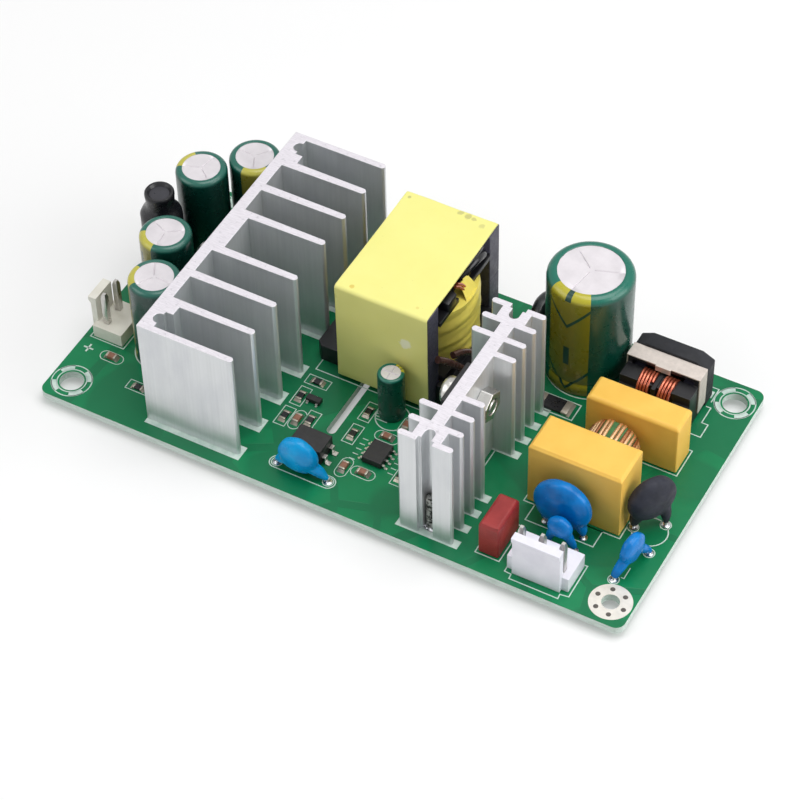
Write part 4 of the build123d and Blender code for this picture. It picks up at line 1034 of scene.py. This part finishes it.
def ribbon(bm, points, width, z=0.02, closed=False, material=0):
    """A flat printed line with mitred corners."""
    points = [Vector((*p, z)) for p in points]
    count = len(points)
    pairs = []
    for i, point in enumerate(points):
        back = points[i - 1] if closed or i else point
        on = points[(i + 1) % count] if closed or i < count - 1 else point
        a = (point - back).normalized() if (point - back).length else (on - point).normalized()
        b = (on - point).normalized() if (on - point).length else a
        bisector = (a + b).normalized()
        side = Vector((-bisector.y, bisector.x, 0))
        scale = 1 / max(0.4, side.dot(Vector((-a.y, a.x, 0))))
        pairs.append((point - side * width / 2 * scale, point + side * width / 2 * scale))
    if closed:
        pairs.append(pairs[0])
    rows = [[bm.verts.new(p), bm.verts.new(q)] for p, q in pairs]
    for a, b in zip(rows, rows[1:]):
        bm.faces.new((a[0], b[0], b[1], a[1])).material_index = material


def arc_points(x, y, radius, start=0.0, stop=360.0, steps=48):
    """Points along an arc, in degrees."""
    return [(x + radius * cos(radians(start + (stop - start) * i / steps)),
             y + radius * sin(radians(start + (stop - start) * i / steps))) for i in range(steps + 1)]


def rectangle(x0, y0, x1, y1):
    return [(x0, y0), (x1, y0), (x1, y1), (x0, y1)]


LINE = 0.22
HOLE_X = 4.21
HOLE_Y = 4.79
RING = 3.87
INK_Z = 0.02


def fill(bm, points, material=0, z=INK_Z):
    """A flat printed patch."""
    bm.faces.new([bm.verts.new((*p, z)) for p in points]).material_index = material


def stadium(x, y, half_length, half_width, turned=False):
    """Outline with two round ends."""
    straight = half_length - half_width
    points = arc_points(straight, 0, half_width, -90, 90, 12)
    points += arc_points(-straight, 0, half_width, 90, 270, 12)
    return [(x - b, y + a) if turned else (x + a, y + b) for a, b in points]


def box_round(x, y, half_length, half_width, turned=False):
    """Outline of a rectangle about its middle."""
    a, b = (half_width, half_length) if turned else (half_length, half_width)
    return rectangle(x - a, y - b, x + a, y + b)


def hole_rings(bm):
    """Broken rings round the three larger mounting holes."""
    far_x, far_y = BOARD_LENGTH - HOLE_X, BOARD_WIDTH - HOLE_Y
    for x, y in ((HOLE_X, HOLE_Y), (HOLE_X, far_y), (far_x, far_y)):
        for radius in (RING - 0.1, 2.75):
            ribbon(bm, arc_points(x, y, radius), LINE)
        for quarter in range(4):
            ribbon(bm, arc_points(x, y, 3.3, 90 * quarter + 22, 90 * quarter + 68, 12), 1.0)


def heatsink_feet(bm):
    """Printed strips that stand out round the fins' feet."""
    low, high = extent("output_heatsink")
    pitch = 7.45
    outer_fin = 0.65
    for side in (-1, 1):
        for i in range(4):
            y = (low.y + high.y) / 2 + side * ((high.y - low.y) / 2 - outer_fin - i * pitch)
            fill(bm, rectangle(low.x, y - 1.75, high.x + 0.5, y + 1.55))
    low, high = extent("primary_heatsink")
    pitch = 3.85
    half_fin = 0.625
    for i in (1, 2, 3, 6, 7, 8, 9):
        y = low.y + half_fin + i * pitch
        fill(bm, rectangle(spine_x + 2.0, y - 0.85, high.x + 1.15, y + 0.85))
    fill(bm, rectangle(low.x - 0.6, low.y - 0.35, high.x + 1.15, low.y + 1.5))
    ribbon(bm, [(spine_x + 3.2, low.y + 4 * pitch), (spine_x + 3.2, low.y + 6 * pitch)], LINE)


def silkscreen():
    """Printed outlines, polarity marks and hole rings."""
    bm = bmesh.new()
    hole_rings(bm)
    heatsink_feet(bm)
    for x, y, turned in resistors:
        ribbon(bm, box_round(x, y + 0.1, 2.3, 1.12, turned), 0.16, closed=True)
    for x, y, turned in capacitors:
        ribbon(bm, stadium(x, y, 2.35, 1.15, turned)[:-1], 0.15, closed=True)
    ribbon(bm, box_round(85.1, 40.7, 4.4, 2.0), LINE, closed=True)
    low, high = extent("controller_leads")
    for side, edge in ((-1, low.x), (1, high.x)):
        for i in range(5):
            y = low.y - 0.42 + i * 1.27
            ribbon(bm, [(edge + side * 0.35, y), (edge + side * 1.45, y)], 0.18)
    ribbon(bm, [(spot, 7.95) for spot in (47.6, 55.4)], 0.18)
    ribbon(bm, [(94.7, 2.3), (96.0, 2.2), (96.1, 1.2), (105.5, 1.2), (105.4, 2.2), (107.0, 2.4), (106.9, 9.9),
                (94.5, 9.9)], LINE, closed=True)
    ribbon(bm, rectangle(1.15, 15.9, 8.35, 24.5), LINE, closed=True)
    ribbon(bm, stadium(52.6, 5.5, 6.6, 1.4)[:-1], LINE, closed=True)
    for x, y, radius in ((15.1, 19.1, 5.2), (86.6, 52.3, 8.3), (113.1, 21.9, 3.2), (60.6, 24.3, 3.15)):
        ribbon(bm, arc_points(x, y, radius), LINE)
    for k in range(5):
        drop = -1.2 + 0.62 * k
        reach = (3.15 ** 2 - (drop - 0.4) ** 2) ** 0.5
        ribbon(bm, [(60.6 - reach, 24.3 + drop - 0.4), (60.6 - 0.1 * reach, 24.3 + drop - 0.4)], 0.2)
    ribbon(bm, [(109.5, 53.1), (110.45, 53.1), (110.45, 49.15), (111.7, 49.15), (111.7, 45.85),
                (109.5, 45.85)], LINE)
    ribbon(bm, [(107.4, 57.9), (109.9, 57.9), (109.9, 54.4)], LINE)
    fill(bm, rectangle(108.6, 55.3, 109.5, 57.0))
    for x, y in ((112.1, 9.4), (115.0, 17.5), (114.9, 24.5), (110.1, 21.4), (47.4, 5.5), (57.8, 5.6)):
        ribbon(bm, arc_points(x, y, 1.0, steps=28), 0.18)
    ribbon(bm, [(113.0, 10.4), (113.6, 10.4), (113.6, 13.0)], 0.18)
    ribbon(bm, [(1.45, 13.2), (3.45, 13.2)], 0.35)
    ribbon(bm, [(2.45, 12.2), (2.45, 14.2)], 0.35)
    ribbon(bm, [(42.4, 56.5), (42.4, 28.2), (70.4, 28.2)], LINE)
    ribbon(bm, rectangle(90.4, 18.0, 109.1, 27.3), LINE, closed=True)
    ribbon(bm, rectangle(93.0, 35.6, 111.8, 42.2), LINE, closed=True)
    ribbon(bm, rectangle(88.2, 3.7, 92.9, 12.6), LINE, closed=True)
    ribbon(bm, rectangle(92.6, 14.2, 105.8, 18.0), LINE, closed=True)
    deliver(bm, "silkscreen", [ink])


silkscreen()


def lead_places():
    """Where leads come through the board: x, y and half the lead's width, found from the CAD nodes."""
    found = []
    tip = board_low.z + (STUB_END + BOARD_THICKNESS) * 0.8 * MM
    for name, piece in nodes.items():
        spots = []
        for vert in piece.data.vertices:
            world = piece.matrix_world @ vert.co
            if world.z < tip:
                spots.append((FRAME_TO_BOARD @ world).xy)
        while spots:
            near = [p for p in spots if (p - spots[0]).length < 1.5]
            spots = [p for p in spots if (p - spots[0]).length >= 1.5]
            low = Vector((min(p.x for p in near), min(p.y for p in near)))
            high = Vector((max(p.x for p in near), max(p.y for p in near)))
            size = high - low
            found.append(((low.x + high.x) / 2, (low.y + high.y) / 2, max(size.x, size.y) / 2))
    return found


places = lead_places()


def solder_joints():
    """A cone of solder round each lead under the board, and a thin tinned ring above."""
    bm = bmesh.new()
    under = -BOARD_THICKNESS
    for x, y, radius in places:
        pad = radius + 0.7
        rise = min(1.1, 0.6 + 0.5 * radius)
        lathe(bm, (x, y, 0), [(pad, under + 0.01), (pad, under - 0.03), (pad * 0.85, under - 0.12 * rise),
                              (radius + 0.30, under - 0.40 * rise), (radius + 0.14, under - 0.75 * rise),
                              (radius + 0.04, under - rise)], 20)
        lathe(bm, (x, y, 0), [(radius + 0.5, 0.0), (radius + 0.5, 0.025), (radius + 0.2, 0.06),
                              (radius, 0.22)], 20)
    deliver(bm, "solder_joints", [solder])


solder_joints()


def earth_pad():
    """Bare tinned pad round the earth hole, with six vias painted as dark discs of shade."""
    bm = bmesh.new()
    x, y = BOARD_LENGTH - HOLE_X, HOLE_Y
    rings = []
    for radius, z in ((1.62, -0.1), (1.62, 0.03), (RING, 0.03), (RING, 0.0)):
        rings.append([Vector((x + radius * cos(2 * pi * i / 64), y + radius * sin(2 * pi * i / 64), z))
                      for i in range(64)])
    skin(bm, rings, start=False, end=False)
    for i in range(6):
        a = radians(60 * i + 48)
        spot = (x + 2.75 * cos(a), y + 2.75 * sin(a), 0)
        # painted shade: each via is a flat dark disc in place of the shadow in its hole
        lathe(bm, spot, [(0.46, 0.032), (0.46, 0.04), (0.42, 0.045)], 20, 1)
    deliver(bm, "earth_pad", [pad_tin, via_hole_painted_shade])


earth_pad()

# Camera at the photograph's viewing angle
eye = Vector((0.17518, -0.30647, 0.39462))
aim = Vector((0.00074, -0.00184, 0.00300))
roll = radians(-1.518)
lens = 130.22
looking = (aim - eye).to_track_quat("-Z", "Y")
camera_data = bpy.data.cameras.new("camera")
camera_data.lens = lens
camera_data.sensor_width = 36.0
camera_data.clip_start = 0.05
camera_data.clip_end = 10.0
camera = bpy.data.objects.new("camera", camera_data)
camera.location = eye
camera.rotation_mode = "QUATERNION"
camera.rotation_quaternion = looking @ Quaternion((0, 0, 1), roll)
bpy.context.scene.collection.objects.link(camera)
bpy.context.scene.camera = camera


def white_background(tree, white_share):
    """How much white camera, mirror and glass rays see in place of the surface."""
    path = tree.nodes.new("ShaderNodeLightPath")
    seen = tree.nodes.new("ShaderNodeMath")
    seen.operation = "MAXIMUM"
    tree.links.new(path.outputs["Is Camera Ray"], seen.inputs[0])
    tree.links.new(path.outputs["Is Glossy Ray"], seen.inputs[1])
    both = tree.nodes.new("ShaderNodeMath")
    both.operation = "MAXIMUM"
    tree.links.new(seen.outputs[0], both.inputs[0])
    tree.links.new(path.outputs["Is Transmission Ray"], both.inputs[1])
    share = tree.nodes.new("ShaderNodeMath")
    share.operation = "MULTIPLY"
    if isinstance(white_share, float):
        share.inputs[1].default_value = white_share
    else:
        tree.links.new(white_share, share.inputs[1])
    tree.links.new(both.outputs[0], share.inputs[0])
    return share.outputs[0]


def studio():
    """Pale floor, white surroundings and soft lamps."""
    bm = bmesh.new()
    bmesh.ops.create_grid(bm, x_segments=1, y_segments=1, size=3.0)
    mesh = bpy.data.meshes.new("floor")
    bm.to_mesh(mesh)
    bm.free()
    floor = bpy.data.objects.new("floor", mesh)
    bpy.context.scene.collection.objects.link(floor)
    paint = bpy.data.materials.new("floor_paint")
    paint.use_nodes = True
    tree = paint.node_tree
    shader = tree.nodes["Principled BSDF"]
    shader.inputs["Base Color"].default_value = (0.90, 0.90, 0.90, 1)
    shader.inputs["Roughness"].default_value = 0.9
    glow = tree.nodes.new("ShaderNodeEmission")
    glow.inputs["Color"].default_value = (1, 1, 1, 1)
    mixed = tree.nodes.new("ShaderNodeMixShader")
    away = tree.nodes.new("ShaderNodeVectorMath")
    away.operation = "LENGTH"
    tree.links.new(tree.nodes.new("ShaderNodeTexCoord").outputs["Object"], away.inputs[0])
    share = tree.nodes.new("ShaderNodeMapRange")
    for source, value in zip(share.inputs[1:5], (0.10, 0.60, 0.30, 0.97)):
        source.default_value = value
    tree.links.new(away.outputs["Value"], share.inputs["Value"])
    tree.links.new(white_background(tree, share.outputs[0]), mixed.inputs[0])
    tree.links.new(shader.outputs[0], mixed.inputs[1])
    tree.links.new(glow.outputs[0], mixed.inputs[2])
    tree.links.new(mixed.outputs[0], tree.nodes["Material Output"].inputs["Surface"])
    mesh.materials.append(paint)

    world = bpy.data.worlds.new("surroundings")
    bpy.context.scene.world = world
    world.use_nodes = True
    tree = world.node_tree
    background = tree.nodes["Background"]
    background.inputs["Color"].default_value = (1, 1, 1, 1)
    background.inputs["Strength"].default_value = 0.25
    white = tree.nodes.new("ShaderNodeBackground")
    white.inputs["Strength"].default_value = 1.0
    mixed = tree.nodes.new("ShaderNodeMixShader")
    tree.links.new(white_background(tree, 1.0), mixed.inputs[0])
    tree.links.new(background.outputs[0], mixed.inputs[1])
    tree.links.new(white.outputs[0], mixed.inputs[2])
    tree.links.new(mixed.outputs[0], tree.nodes["World Output"].inputs["Surface"])

    for name, place, size, power in (("over", (0.12, 0.10, 0.70), 0.55, 3.25),
                                     ("right", (0.60, 0.10, 0.35), 0.50, 2.5),
                                     ("left", (-0.45, -0.35, 0.45), 0.50, 1.6)):
        lamp = bpy.data.lights.new(name, "AREA")
        lamp.size = size
        lamp.energy = power
        holder = bpy.data.objects.new(name, lamp)
        holder.location = place
        holder.rotation_euler = (Vector((0, 0, 0)) - Vector(place)).to_track_quat("-Z", "Y").to_euler()
        bpy.context.scene.collection.objects.link(holder)


studio()
bpy.context.scene.view_settings.view_transform = "Standard"
